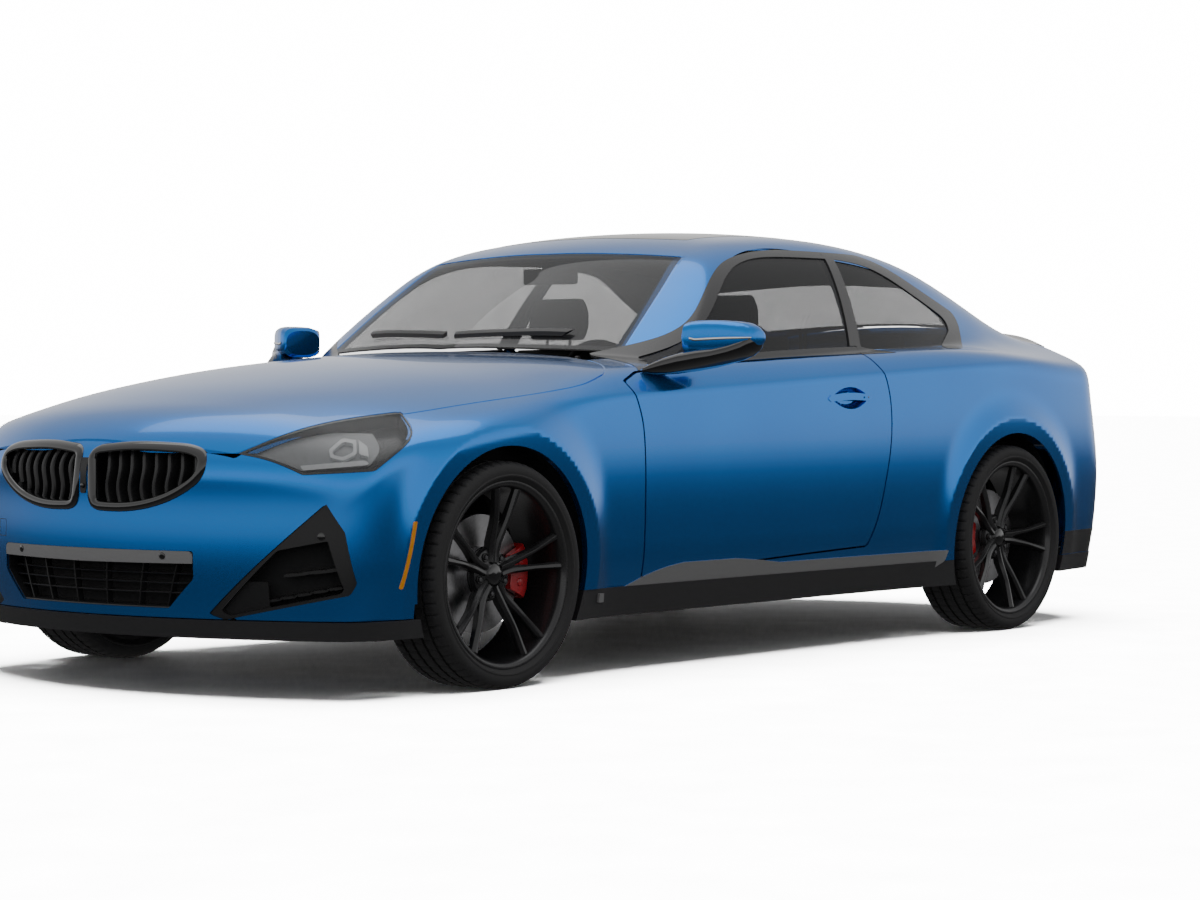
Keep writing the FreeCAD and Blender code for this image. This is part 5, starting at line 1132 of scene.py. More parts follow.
add_skin("side_intake_backing", both_sides(backing), LINER, "car_body",
         ["lower_grilles"])
add_skin("side_intake_fins", both_sides(joined(*fins)), SATIN_BLACK, "car_body",
         ["lower_grilles"])
for y in (-752.0, 752.0):
    spot = on_nose(np.array([[y, 458.0]]), 3.0)
    studs.append(stud(spot[0], slope(lower_body, spot)[0], 11.0, 2.5))
add_part("parking_sensors", joined(*studs), GLOSS_BLACK, "car_body")

# Headlamps: a clear plastic lens bonded to a dark bowl, with a pale reflector, a six-sided
# light guide and a light strip along the lower edge. Each lamp is bolted behind the bumper.

LENS_ALPHA = 0.18
LENS = clear_glass("lens_clear", (0.20, 0.205, 0.21), LENS_ALPHA)
HEX_RING = straight([(-912, 696), (-874, 727), (-836, 721), (-836, 684), (-872, 666), (-908, 674)])
SECOND_RING = straight([(-829, 722), (-806, 704), (-803, 676), (-829, 684)])
STRIP_RING = straight([(-991, 652), (-812, 667), (-800, 655), (-984, 639)])
REFLECTOR_RING = runs(
    [(-1030, 714), (-900, 740)],
    [(-790, 738)],
    [(-772, 700), (-800, 652)],
    [(-984, 636)],
    [(-1070, 668), (-1128, 678)])


def lamp_piece(ring, level, depth, gap=0.0, hole_gap=None):
    """A layer of both headlamps: its ring, how deep it lies and how thick it is."""
    cuts = [in_corner(ring, gap)]
    if hole_gap is not None:
        cuts.append(off(in_corner(ring, hole_gap)))
    piece = shell(lower_body, lamp_rays, level, cuts, depth)
    return both_sides(piece)


LAMP_DARK = surface("lamp_housing", (0.030, 0.031, 0.033), 0.28, grain=300, coat=0.3)
LAMP_PALE = surface("lamp_reflector", (0.36, 0.37, 0.38), 0.35, metal=0.3, grain=90)
LAMP_GUIDE = surface("lamp_guide", (0.80, 0.82, 0.84), 0.25, grain=60, coat=0.5)
lamp_rays = fan_rays(FA - 40, 6, 84, 150, 600, 830, 60)
add_skin("lamp_lenses", lamp_piece(LAMP_RING, 0.6, 3.0, -1.0), LENS, "car_body", ["headlamps"])
add_skin("lamp_bowls", lamp_piece(LAMP_RING, 44.0, 5.0, -1.0), LAMP_DARK, "car_body",
         ["headlamps"])
add_skin("lamp_edges", lamp_piece(LAMP_RING, 2.0, 44.0, -1.0, -7.0), LAMP_DARK, "car_body",
         ["headlamps"])
add_skin("lamp_reflectors", lamp_piece(REFLECTOR_RING, 26.0, 12.0), LAMP_PALE, "car_body",
         ["headlamps"])
add_skin("lamp_guides", lamp_piece(HEX_RING, 14.0, 12.0, 0.0, -9.0), LAMP_GUIDE, "car_body",
         ["headlamps"])
add_skin("lamp_second_guides", lamp_piece(SECOND_RING, 14.0, 12.0), LAMP_GUIDE, "car_body",
         ["headlamps"])
add_skin("lamp_strips", lamp_piece(STRIP_RING, 8.0, 10.0), LAMP_GUIDE, "car_body", ["headlamps"])

# Side markers: a slim amber plastic lens pushed into each end of the front bumper cover.

AMBER = surface("amber_marker", (0.85, 0.32, 0.02), 0.20, grain=60, coat=0.6)
MARKER_RING = runs(
    [(-1835, 495)],
    [(-1852, 400), (-1878, 308)],
    [(-1892, 309)],
    [(-1867, 400), (-1850, 496)])


def marker_targets(x):
    """(width, height) places on the bumper's edge at one station."""
    wide = float(half_width(x))
    return [(wide - 20, 290), (wide, 400), (wide, 510)]


marker = shell(lower_body, section_rays(-1900, -1828, 30, 450.0, marker_targets, 8.0), -1.6,
               [in_side(MARKER_RING)], 4.0)
add_skin("side_markers", both_sides(marker), AMBER, "car_body")

# Wheels: a black cast alloy rim with five pairs of spokes, bolted to the hub by five bolts, and
# a rubber tyre seated on the rim. Points go from (turn, radius, outward offset) round an axle.

SPOKE_PAIRS = 5
BOLT_CIRCLE = 57.0
RUBBER = surface("rubber_tyre", (0.020, 0.020, 0.021), 0.72, grain=350, bump=0.25)
RIM_BLACK = surface("rim_black", (0.030, 0.030, 0.032), 0.28, metal=0.4, grain=800, coat=0.4,
                    coat_rough=0.15)
CAST = surface("iron_cast", (0.11, 0.11, 0.115), 0.60, metal=0.8, grain=260, bump=0.4)
HALF_TRACK = {"front": 787.0, "rear": 795.0}
AXLE_X = {"front": FA, "rear": RA}


def on_axle(place, turn, radius, offset):
    """Points of the left wheel: turn clockwise from the top, radius, offset outwards."""
    turn, radius, offset = np.broadcast_arrays(turn, radius, offset)
    return np.stack([AXLE_X[place] + radius * np.sin(turn), -HALF_TRACK[place] - offset,
                     AXLE_Z + radius * np.cos(turn)], -1)


def revolved(place, profile, steps, relief=None):
    """A closed (offset, radius) profile turned round the axle."""
    profile = np.array(profile, float)
    turn = np.arange(steps)[:, None] / steps * 2 * np.pi
    radius = profile[None, :, 1] + 0 * turn
    offset = profile[None, :, 0] + 0 * turn
    if relief is not None:
        radius = radius - relief(turn, offset, radius)
    points = on_axle(place, turn, radius, offset).reshape(-1, 3)
    faces = grid_faces(steps, len(profile), True, True)
    return points, faces


def facing_out(part, hub):
    """Winds a closed turned form so that its signed volume is above zero."""
    points, faces = part
    quads = np.asarray(faces)
    local = points - hub
    a, b, c, d = (local[quads[:, k]] for k in range(4))
    volume = np.sum(a * np.cross(b, c)) + np.sum(a * np.cross(c, d))
    if volume < 0:
        quads = quads[:, ::-1]
    return points, quads.tolist()


def refined(profile, most):
    """A profile with its long stretches cut into pieces no longer than the given length."""
    profile = np.array(profile, float)
    out = []
    for a, b in zip(profile, np.roll(profile, -1, 0)):
        pieces = max(int(np.ceil(np.hypot(*(b - a)) / most)), 1)
        out += [a + (b - a) * k / pieces for k in range(pieces)]
    return np.array(out)


TYRE_HALF = [(96.3, 258), (96.6, 268), (101, 274), (107.5, 280), (111.4, 283.5), (112.3, 287),
             (110.6, 290), (111.5, 296), (111.2, 304), (109, 311.5), (105, 317.5), (99, 322.6),
             (91, 326.2), (82, 327.4), (67.2, 327.8), (66.6, 321), (57.4, 321), (56.8, 328),
             (26.2, 328), (25.6, 320.6), (16.4, 320.6), (15.8, 328)]
TYRE_LOOP = TYRE_HALF + [(-o, r) for o, r in reversed(TYRE_HALF)]
RIM_LOOP = [(96.4, 257.2), (96.4, 271.4), (98, 272), (101, 271.6), (101.4, 270), (100.6, 263),
            (97.5, 258), (93.5, 254.5), (86, 251.6), (70, 249), (40, 247.5), (-40, 246), (-84, 248),
            (-95, 256), (-96.4, 257.2), (-60, 252.4), (60, 252.4), (84, 255)]
HUB_LOOP = [(52.5, 0.01), (52.5, 24), (51.5, 29.5), (49, 31.5), (43.5, 35), (41.5, 44), (40.5, 60),
            (37, 74), (24, 80), (12, 76), (12, 34), (40, 0.01)]
CAP_LOOP = [(56.2, 0.01), (55.6, 16), (54.2, 25), (52.0, 28.2), (49, 28.2), (49, 0.01)]


def tread(turn, offset, radius):
    """Cross slots: one step in six is lower on the shoulders and on the ribs between grooves."""
    block = np.round(turn / (2 * np.pi) * 360).astype(int)
    wide = np.abs(offset)
    shoulder = (wide > 66.5) & (wide < 104) & (radius > 316)
    rib = (wide < 57.2) & (radius > 324)
    slot = shoulder * ((block % 6) == 0) * 4.5
    fine = rib * (((block + np.where(offset > 0, 2, 4)) % 6) == 0) * 2.5
    return slot + fine


def spoke(place, turn, side):
    """One ridged spoke: it leaves the hub beside its twin and leans away to the rim."""
    out = np.array([34, 50, 70, 92, 115, 140, 158, 168, 190, 215, 235, 250.5])
    lean = side * np.interp(out, [34, 80, 160, 255], [9, 10, 24, 45])
    front = np.interp(out, [34, 60, 92, 150, 172, 245, 252], [51, 51, 57, 74, 79, 92, 93])
    crest = np.interp(out, [34, 92, 160, 252], [5.0, 4.5, 3.6, 5.2])
    foot = np.interp(out, [34, 92, 160, 252], [10.5, 12.5, 9.0, 12.0])
    deep = np.interp(out, [34, 92, 160, 252], [30, 34, 30, 24])
    rows = []
    for k in range(len(out)):
        ring = [(-crest[k] * side, -1.8), (crest[k] * side, 0.0), (foot[k] * side, -11.0),
                (foot[k] * 0.9 * side, -deep[k]), (-foot[k] * 0.9 * side, -deep[k]),
                (-foot[k] * side, -11.0)]
        across = np.array([r[0] for r in ring]) + lean[k]
        offset = np.array([r[1] for r in ring]) + front[k]
        angle = turn + np.arctan2(across, out[k])
        radius = np.hypot(across, out[k])
        radius = np.minimum(radius, 251.5)
        rows.append(on_axle(place, angle, radius, offset))
    return loft(rows)


def tube(place, turn, out, profile, count=18):
    """A small turned form beside the axle: (radius, offset) profile round its own centre."""
    angles = np.arange(count) / count * 2 * np.pi
    rows = []
    for radius, offset in profile:
        across = radius * np.cos(angles)
        up = out + radius * np.sin(angles)
        rows.append(on_axle(place, turn + np.arctan2(across, up), np.hypot(across, up), offset))
    return loft(rows, 0)


FIRST_TURN = {"front": math.radians(4.5), "rear": math.radians(20.0)}
WELL = [(13.5, 37.5), (13.5, 43.0), (12.4, 44.0), (11.2, 43.0), (11.0, 40.4), (0.01, 40.4)]
BOLT = [(7.2, 40.4), (7.2, 46.0), (5.8, 47.2), (0.01, 47.6)]
for place in ("front", "rear"):
    hub = np.array([AXLE_X[place], -HALF_TRACK[place], AXLE_Z])
    tyre = facing_out(revolved(place, refined(TYRE_LOOP, 16.0), 360, tread), hub)
    rim = facing_out(revolved(place, RIM_LOOP, 120), hub)
    centre = facing_out(revolved(place, HUB_LOOP, 60), hub)
    cap = facing_out(revolved(place, CAP_LOOP, 40), hub)
    pair_turns = [FIRST_TURN[place] + math.radians(360 // SPOKE_PAIRS * k)
                  for k in range(SPOKE_PAIRS)]
    bolt_turns = [FIRST_TURN[place] + math.radians(180 // SPOKE_PAIRS + 360 // SPOKE_PAIRS * k)
                  for k in range(SPOKE_PAIRS)]
    spokes = [spoke(place, turn, side) for turn in pair_turns for side in (-1, 1)]
    wells = [tube(place, turn, BOLT_CIRCLE, WELL) for turn in bolt_turns]
    bolts = [tube(place, turn, BOLT_CIRCLE, BOLT, 6) for turn in bolt_turns]
    for hand in ("left", "right"):
        end = "_%s_%s" % (place, hand)
        body = "wheel" + end + "_body"
        add_part("tyre_rubber" + end, to_hand(tyre, hand), RUBBER, body, ["tyre" + end], angle=28)
        add_part("rim_metal" + end, to_hand(joined(rim, centre, *spokes), hand), RIM_BLACK, body,
                 ["rim" + end], bevel=1.2, angle=24)
        add_part("bolt_wells" + end, to_hand(joined(*wells), hand), SATIN_BLACK, body)
        add_part("wheel_bolts" + end, to_hand(joined(*bolts), hand), CAST, body)
        add_part("centre_cap" + end, to_hand(cap, hand), GLOSS_BLACK, body)

# Brake calipers: a red painted cast jaw over each disc, with two pad pins, bolted to the
# knuckle at the front and to the axle at the rear.

RED = surface("caliper_red", (0.48, 0.012, 0.020), 0.30, grain=90, coat=0.7)
JAW_SECTION = [(18, 112), (20, 132), (20.5, 160), (18, 184), (11, 194), (-2, 197.5), (-50, 197.5),
               (-63, 192), (-69, 180), (-69, 118), (-41, 118), (-41, 179.5), (-1.5, 179.5),
               (-1.5, 112)]


def jaw(place, middle, half, count=24):
    """The jaw's C-shaped section swept round the axle, a little slimmer at both ends."""
    rows = []
    for k in range(count):
        part = k / (count - 1) * 2 - 1
        slim = 1.0 - 0.12 * max(abs(part) - 0.72, 0.0) / 0.28
        section = np.array(JAW_SECTION)
        middle_radius = 160.0
        radius = middle_radius + (section[:, 1] - middle_radius) * slim
        rows.append(on_axle(place, middle + half * part, radius, section[:, 0]))
    points = np.concatenate(rows)
    size = len(JAW_SECTION)
    faces = [list(f) for f in grid_faces(count, size, close_columns=True)]
    ends = [[4, 5, 6, 11, 12], [0, 1, 2, 3, 4, 12, 13], [6, 7, 8, 9, 10, 11]]
    last = (count - 1) * size
    faces += [list(reversed(e)) for e in ends] + [[last + i for i in e] for e in ends]
    hub = on_axle(place, 0.0, 0.0, -20.0)
    quads = np.array([f[:4] for f in faces[:(count - 1) * size]])
    local = points - hub
    a, b, c, d = (local[quads[:, k]] for k in range(4))
    if np.sum(a * np.cross(b, c)) + np.sum(a * np.cross(c, d)) < 0:
        faces = [face[::-1] for face in faces]
    return points, [list(face) for face in faces]


for place, middle in (("front", math.pi / 2), ("rear", -math.pi / 2)):
    shape = jaw(place, middle, math.radians(25))
    lugs = [tube(place, middle + math.radians(t), 150.0, [(13, 8), (13, 21), (10, 23.5), (0.01, 24)])
            for t in (-12, 12)]
    for hand in ("left", "right"):
        piece = to_hand(joined(shape, *lugs), hand)
        if place == "front":
            add_part("caliper_front_" + hand, piece, RED, "knuckle_%s_body" % hand,
                     ["front_caliper_" + hand], bevel=1.5)
        else:
            add_part("caliper_rear_" + hand, piece, RED, "car_body", ["rear_calipers"], bevel=1.5)

# Side window trim: a satin surround over the glass edges, clipped to the body, and a strip along
# each door's top that moves with the door.

TRIM_DARK = surface("trim_dark", (0.030, 0.030, 0.032), 0.24, grain=300, coat=0.5, coat_rough=0.15)
SURROUND_RING = runs(
    [(-655, 972)],
    [(-378, 1082), (-210, 1204), (-100, 1264), (28, 1299), (296, 1327), (636, 1334), (860, 1305),
     (1082, 1214), (1281, 1136)],
    [(1300, 1110), (1296, 1083)],
    [(1280, 1062), (1014, 1000)],
    [(491, 976), (-21, 958), (-428, 934), (-744, 913)])
GLASS_FRONT_RING = runs(
    [(-330, 1070), (-170, 1187), (-60, 1250), (25, 1277), (283, 1301), (536, 1303)],
    [(424, 975)],
    [(-21, 950), (-590, 934)],
    [(-600, 958)])
GLASS_REAR_RING = runs(
    [(805, 1275), (992, 1199), (1167, 1121)],
    [(1197, 1090), (1190, 1065)],
    [(1099, 1024), (500, 1000)],
    [(590, 1302)])
BELT_RING = runs(
    [(-428, 936), (-21, 960), (466, 977)],
    [(474, 1001)],
    [(-21, 982), (-428, 957), (-600, 946)],
    [(-742, 913)])


def trim_targets(x):
    """(width, height) places up the side window's trim at one station."""
    inner = float(cabin_width(x))
    return [(inner + 30, 905), (inner + 8, 930), (inner - 2, 970), (inner - 25, 1030),
            (inner - 62, 1120), (inner - 100, 1200), (inner - 150, 1280), (inner - 185, 1345)]


SEAM_RING = straight([(528, 1308), (540, 1340), (543, 1340), (531, 1308)])
trim_rays = section_rays(-760, 1320, 260, GLASS_SPINE_Z, trim_targets, 9.0)
surround_cuts = [in_side(SURROUND_RING), off(in_side(GLASS_FRONT_RING)),
                 off(in_side(GLASS_REAR_RING)), off(in_side(BELT_RING, 2.5))]
surround = shell(whole_body, trim_rays, -1.2, surround_cuts, 7.0)
add_skin("window_surround", both_sides(surround), TRIM_DARK, "car_body")
belt = shell(whole_body, trim_rays, -2.2, [in_side(BELT_RING)], 9.0)
for hand in ("left", "right"):
    add_skin("belt_strip_" + hand, to_hand(belt, hand), TRIM_DARK, "door_%s_body" % hand)
seam = shell(whole_body, trim_rays, -1.5, [in_side(SEAM_RING)], 2.0)
add_skin("surround_joint", both_sides(seam), LINER, "car_body")

# Door mirrors: a painted plastic cap over a gloss-black lower shell and foot, with a bright
# strip and a silvered glass in the back, screwed to the door's front corner.

STEEL = surface("steel_turned", (0.42, 0.42, 0.43), 0.30, metal=1.0, grain=120)
CHROME = surface("chrome", (0.72, 0.73, 0.75), 0.08, metal=1.0, grain=30)
CAP_STATIONS = [(856, -588, -424, 974, 1058, 2.6), (862, -592, -420, 966, 1068, 4.0),
                (885, -586, -415, 964, 1072, 4.4), (920, -566, -408, 964, 1074, 4.4),
                (955, -541, -401, 966, 1073, 4.2), (985, -518, -395, 969, 1070, 3.8),
                (1008, -495, -390, 974, 1064, 3.2), (1024, -472, -387, 984, 1054, 2.6),
                (1032, -450, -388, 996, 1042, 2.2), (1034, -432, -398, 1010, 1030, 2.0)]
LOWER_STATIONS = [(812, -728, -640, 903, 932, 2.4), (830, -716, -615, 903, 944, 2.6),
                  (852, -690, -560, 906, 960, 2.8), (880, -650, -490, 914, 975, 3.0),
                  (915, -606, -445, 924, 985, 3.0), (950, -566, -420, 936, 990, 3.0),
                  (985, -530, -406, 948, 1002, 2.8), (1010, -498, -398, 960, 1016, 2.6),
                  (1026, -470, -393, 976, 1030, 2.4), (1032, -445, -398, 992, 1026, 2.0)]


def lofted(stations, count=44):
    """Rounded-box sections across the car, from |y|, front, back, low, high and squareness."""
    angles = np.arange(count) / count * 2 * np.pi
    rows = []
    for wide, front, back, low, high, square in stations:
        c = np.cos(angles)
        s = np.sin(angles)
        x = (front + back) / 2 + (back - front) / 2 * np.sign(c) * np.abs(c) ** (2 / square)
        z = (low + high) / 2 + (high - low) / 2 * np.sign(s) * np.abs(s) ** (2 / square)
        rows.append(np.stack([x, np.full(count, -float(wide)), z], 1))
    return loft(rows)


def denser(stations, times):
    """More stations between the given ones, along smooth runs."""
    table = np.array(stations, float)
    at = np.arange(len(table))
    fine = np.linspace(0, len(table) - 1, (len(table) - 1) * times + 1)
    return [tuple(np.interp(fine[k], at, table[:, c]) for c in range(6)) for k in range(len(fine))]


def mirror_front(wide, part):
    """The front skin of the cap at a share of its height."""
    table = np.array(CAP_STATIONS)
    front, back, low, high, square = (np.interp(wide, table[:, 0], table[:, c])
                                      for c in range(1, 6))
    z = low + (high - low) * part
    level = np.abs(2 * part - 1)
    reach = (1 - level ** square) ** (1 / square)
    return (front + back) / 2 - (back - front) / 2 * reach, z


cap = lofted(denser(CAP_STATIONS, 3))
lower = lofted(denser(LOWER_STATIONS, 3))
strip_at = np.linspace(884, 1029, 30)
rows = []
for part, proud in ((0.395, -1.5), (0.405, 1.2), (0.44, 1.8), (0.475, 1.2), (0.485, -1.5)):
    lift = np.interp(strip_at, [884, 900, 1029], [0.04, 0.0, 0.05])
    x, z = mirror_front(strip_at, part + lift)
    rows.append(np.stack([x - proud, -strip_at - proud * 0.5, z], 1))
strip_points = np.concatenate(rows)
strip = (strip_points, outwards(strip_points, grid_faces(len(rows), len(strip_at)),
                                np.array([-450.0, -940.0, 1010.0])))
mirror_glass = lofted([(874, -424, -405, 978, 1060, 3.0), (900, -420, -401, 972, 1066, 3.6),
                       (980, -404, -388, 974, 1062, 3.4), (1014, -398, -384.6, 990, 1048, 2.6)])
for hand in ("left", "right"):
    body = "door_%s_body" % hand
    node_name = "door_mirror_" + hand
    add_part("mirror_cap_" + hand, to_hand(cap, hand), PAINT, body, [node_name], angle=50)
    add_part("mirror_lower_" + hand, to_hand(lower, hand), GLOSS_BLACK, body, [node_name],
             angle=50)
    add_part("mirror_strip_" + hand, to_hand(strip, hand), CHROME, body)
    add_part("mirror_glass_" + hand, to_hand(mirror_glass, hand), STEEL, body, angle=50)

# Door handles: a dished recess in the door skin, with a flush painted grip over its upper half
# that pivots behind the skin, and a small lock on the driver's side.

HANDLE_RING = runs(
    [(FA + 1640, 838)],
    [(FA + 1750, 846), (FA + 1862, 840)],
    [(FA + 1878, 828)],
    [(FA + 1862, 818)],
    [(FA + 1750, 822), (FA + 1640, 816)],
    [(FA + 1622, 826)])
handle_hole = in_side(HANDLE_RECESS_RING)


def dish():
    """The recess: the door skin sunk by up to 24 mm, deepest along its middle."""
    start, way = dish_rays
    rows, columns = start.shape[:2]
    points = meet(lower_body, start.reshape(-1, 3), way.reshape(-1, 3), 0.0)
    triangles = facing(points, grid_triangles(rows, columns), slope(lower_body, points))
    points, triangles = trim(points, triangles, handle_hole(points))
    inside = np.clip(-handle_hole(points) / 16.0, 0, 1)
    sunk = points.copy()
    sunk[:, 1] += 24.0 * np.sin(inside * np.pi / 2)
    faces = [list(t) for t in triangles]
    return joined((sunk, faces), (sunk + [0, 3.0, 0], [f[::-1] for f in faces]))


dish_rays = section_rays(FA + 1620, FA + 1880, 70, SPINE_Z, door_targets, 4.0)
grip = shell(lower_body, dish_rays, -1.8, [in_side(HANDLE_RING)], 10.0)
lock = stud((FA + 1840, -float(half_width(FA + 1840)) - 1.5, 831), (0, -1, 0.1), 3.4, 0.8, 14)
for hand in ("left", "right"):
    body = "door_%s_body" % hand
    add_part("handle_recess_" + hand, to_hand(dish(), hand), PAINT, body)
    add_skin("handle_grip_" + hand, to_hand(grip, hand), PAINT, body)
add_part("handle_lock", lock, SATIN_GREY, "door_left_body")

# Side skirts: a grey plastic blade over the black sill, with a ledge along its top, clipped and
# screwed to the sill.

SKIRT_RING = runs(
    [(-916, 251), (-788, 285), (-70, 301)],
    [(883, 300)],
    [(864, 262)],
    [(735, 195)],
    [(-148, 201), (-810, 216)],
    [(-1000, 222)],
    [(-1000, 249)])


def skirt_targets(x):
    """(width, height) places on the sill at one station."""
    wide = float(half_width(x))
    return [(wide - 40, 180), (wide - 14, 210), (wide, 250), (wide, 320)]


skirt = shell(lower_body, section_rays(-1010, 900, 180, SPINE_Z, skirt_targets, 6.0), -3.5,
              [in_side(SKIRT_RING), wheel_cut(FA), wheel_cut(RA)], 14.0)
add_skin("skirt_blades", both_sides(skirt), SATIN_GREY, "car_body")

# Front seats: foam cushions in black leather with raised bolsters and sewn channels, on a
# plastic base bolted to the floor, with a hard shell behind each back.

SEAT_X = RA - 1244
SEAT_Y = 372.0
PLASTIC = surface("plastic_grained", (0.022, 0.022, 0.024), 0.55, grain=900, bump=0.3, kind="cells")
SEAT_LEATHER = surface("seat_leather", (0.050, 0.050, 0.052), 0.50, grain=650, bump=0.5,
                       kind="cells")


def pad_form(start, end, widths, thick, bolster=0.0, channels=0, count=25):
    """A crowned closed pad between two points in the x-z plane, centred on y = 0.

    Across the pad u runs from -1 to 1 and along it v from 0 to 1. Half the thickness is
    thick * (1 - |u|^4)^(1/3) * (1 - |2v - 1|^6)^(1/3), the front raised by the bolster
    where |u| > 0.6 and drawn in along each sewn channel.
    """
    start = np.array([start[0], 0.0, start[1]])
    end = np.array([end[0], 0.0, end[1]])
    run = end - start
    up = run / np.linalg.norm(run)
    out = np.array([up[2], 0.0, -up[0]])
    u = np.sin(np.linspace(-1, 1, count) * np.pi / 2)
    v = 0.5 + 0.5 * np.sin(np.linspace(-1, 1, count) * np.pi / 2)
    grid_u, grid_v = np.meshgrid(u, v)
    swell = (1 - np.abs(grid_u) ** 4) ** (1 / 3) * (1 - np.abs(2 * grid_v - 1) ** 6) ** (1 / 3)
    half = np.interp(grid_v, np.linspace(0, 1, len(widths)), widths)
    pull = 1 - 0.02 * np.cos(grid_u * np.pi / 2)
    base = start + grid_v[..., None] * run
    base = base + grid_u[..., None] * half[..., None] * np.array([0.0, 1.0, 0.0])
    raised = bolster * np.clip((np.abs(grid_u) - 0.55) / 0.25, 0, 1) ** 2
    raised = raised * np.clip(1.15 - np.abs(grid_u), 0, 0.3) / 0.3
    seams = 0 * grid_v
    for number in range(channels):
        place = 0.25 + 0.5 * number / max(channels - 1, 1)
        seams += 4.0 * np.exp(-((grid_v - place) / 0.012) ** 2) * (np.abs(grid_u) < 0.55)
    front = base + out * ((thick * swell * pull + raised * swell - seams * swell)[..., None])
    back = base - out * (thick * 0.8 * swell)[..., None]
    points = np.concatenate([front.reshape(-1, 3), back.reshape(-1, 3)])
    faces = grid_faces(count, count).tolist()
    faces += [[i + count * count for i in face[::-1]] for face in faces]
    return points, outwards(points, faces, points.mean(0))


def shifted(part, x, y, z=0.0):
    """A mesh moved by (x, y, z)."""
    return part[0] + np.array([x, y, z]), part[1]


def add_pad(name, part, nodes):
    """Adds a sewn pad in seat leather: its seam is welded and it is smoothed once."""
    thing = add_part(name, part, SEAT_LEATHER, "car_body", nodes, angle=180)
    weld = thing.modifiers.new("weld", "WELD")
    weld.merge_threshold = 0.0008
    smooth = thing.modifiers.new("smooth", "SUBSURF")
    smooth.levels = 1
    smooth.render_levels = 1
    return thing


def rounded_block(x0, x1, y0, y1, z0, z1, radius, count=6):
    """A box with round edges: corner spheres of the radius, joined by flat faces."""
    angles = np.linspace(0, np.pi / 2, count)
    ring = []
    for turn, (sx, sy) in enumerate(((1, 1), (-1, 1), (-1, -1), (1, -1))):
        for angle in angles:
            ring.append((sx, sy, math.cos(angle + turn * np.pi / 2),
                         math.sin(angle + turn * np.pi / 2)))
    rows = []
    for part, lift in ([(math.sin(a), -math.cos(a)) for a in angles]
                       + [(math.cos(a), math.sin(a)) for a in angles]):
        z = (z1 if lift > 0 or (lift == 0 and rows and len(rows) >= count) else z0)
        z = z - radius * (1 if z == z1 else -1) + radius * lift
        row = []
        for sx, sy, cx, cy in ring:
            row.append(((x1 - radius if sx > 0 else x0 + radius) + cx * radius * part,
                        (y1 - radius if sy > 0 else y0 + radius) + cy * radius * part, z))
        rows.append(row)
    return loft(rows)


seat_cushion = pad_form((-392, 418), (84, 392), [232, 250, 254, 250, 236], 66, 24, 4)
seat_back = pad_form((94, 396), (232, 996), [226, 244, 246, 232, 176], 54, 26, 5)
seat_head = pad_form((236, 1030), (252, 1176), [112, 126, 122, 100], 44, 0, 0, 24)
seat_shell = pad_form((178, 400), (284, 990), [214, 236, 240, 224, 170], 30, 0, 0, 24)
seat_base = rounded_block(-330, 178, -226, 226, 264, 360, 22)
seat_posts = joined(*[stud((240, side, 985), (0.1, 0, 1), 6, 50) for side in (-52, 52)])
for hand, sign in (("left", -1), ("right", 1)):
    for label, part, fill in (("seat_cushion", seat_cushion, 0.9), ("seat_back", seat_back, 0.9),
                              ("seat_head", seat_head, 0.95)):
        add_pad("%s_%s" % (label, hand), shifted(part, SEAT_X, sign * SEAT_Y), ["front_seats"])
    add_part("seat_shell_" + hand, shifted(seat_shell, SEAT_X, sign * SEAT_Y), PLASTIC,
             "car_body", ["front_seats"], angle=60)
    add_part("seat_base_" + hand, shifted(seat_base, SEAT_X, sign * SEAT_Y), PLASTIC,
             "car_body", ["front_seats"], angle=40)
    add_part("seat_posts_" + hand, shifted(seat_posts, SEAT_X, sign * SEAT_Y), STEEL,
             "car_body", ["front_seats"])

# Rear bench: two padded leather places with backs and low headrests, on a carpeted box that is
# clipped to the floor.

CARPET = surface("carpet_black", (0.016, 0.016, 0.017), 0.95, grain=1500, bump=0.8)
bench_cushion = pad_form((-582, 448), (-178, 468), [236, 246, 246, 240], 46, 8, 3)
bench_back = pad_form((-160, 480), (46, 946), [240, 250, 246, 232], 44, 8, 4)
bench_head = pad_form((76, 950), (98, 1052), [104, 116, 104], 32, 0, 0, 24)
for hand, sign in (("left", -1), ("right", 1)):
    for label, part in (("bench_cushion", bench_cushion), ("bench_back", bench_back),
                        ("bench_head", bench_head)):
        add_pad("%s_%s" % (label, hand), shifted(part, RA, sign * 262.0), ["rear_seat"])
bench_box = rounded_block(-570, -352, -536, 536, 264, 440, 16)
add_part("bench_box", shifted(bench_box, RA, 0), CARPET, "car_body", ["rear_seat"], angle=40)
add_part("bench_middle", shifted(rounded_block(-560, -190, -34, 34, 430, 500, 14), RA, 0),
         PLASTIC, "car_body", ["rear_seat"], angle=40)

# Dashboard: a soft padded top over a hard shell, with an instrument panel, a centre screen,
# four vents and a satin strip, screwed to the cross beam under the windscreen.

LEATHER = surface("leather_black", (0.022, 0.021, 0.021), 0.48, grain=650, bump=0.5, kind="cells")


def swept(profile, stations, steps=10):
    """An x-z outline with rounded corners, scaled about a point and swept across the car."""
    corners = np.array(profile, float)
    loop = []
    for k in range(len(corners)):
        before = corners[k] + (corners[k - 1] - corners[k]) * 0.18
        after = corners[k] + (corners[(k + 1) % len(corners)] - corners[k]) * 0.18
        for t in np.linspace(0, 1, steps):
            loop.append((1 - t) ** 2 * before + 2 * t * (1 - t) * corners[k] + t ** 2 * after)
    loop = np.array(loop)
    rows = []
    for y, scale, shift in stations:
        middle = loop.mean(0)
        ring = middle + (loop - middle) * scale
        rows.append(np.stack([ring[:, 0] + shift, np.full(len(ring), float(y)), ring[:, 1]], 1))
    return loft(rows)


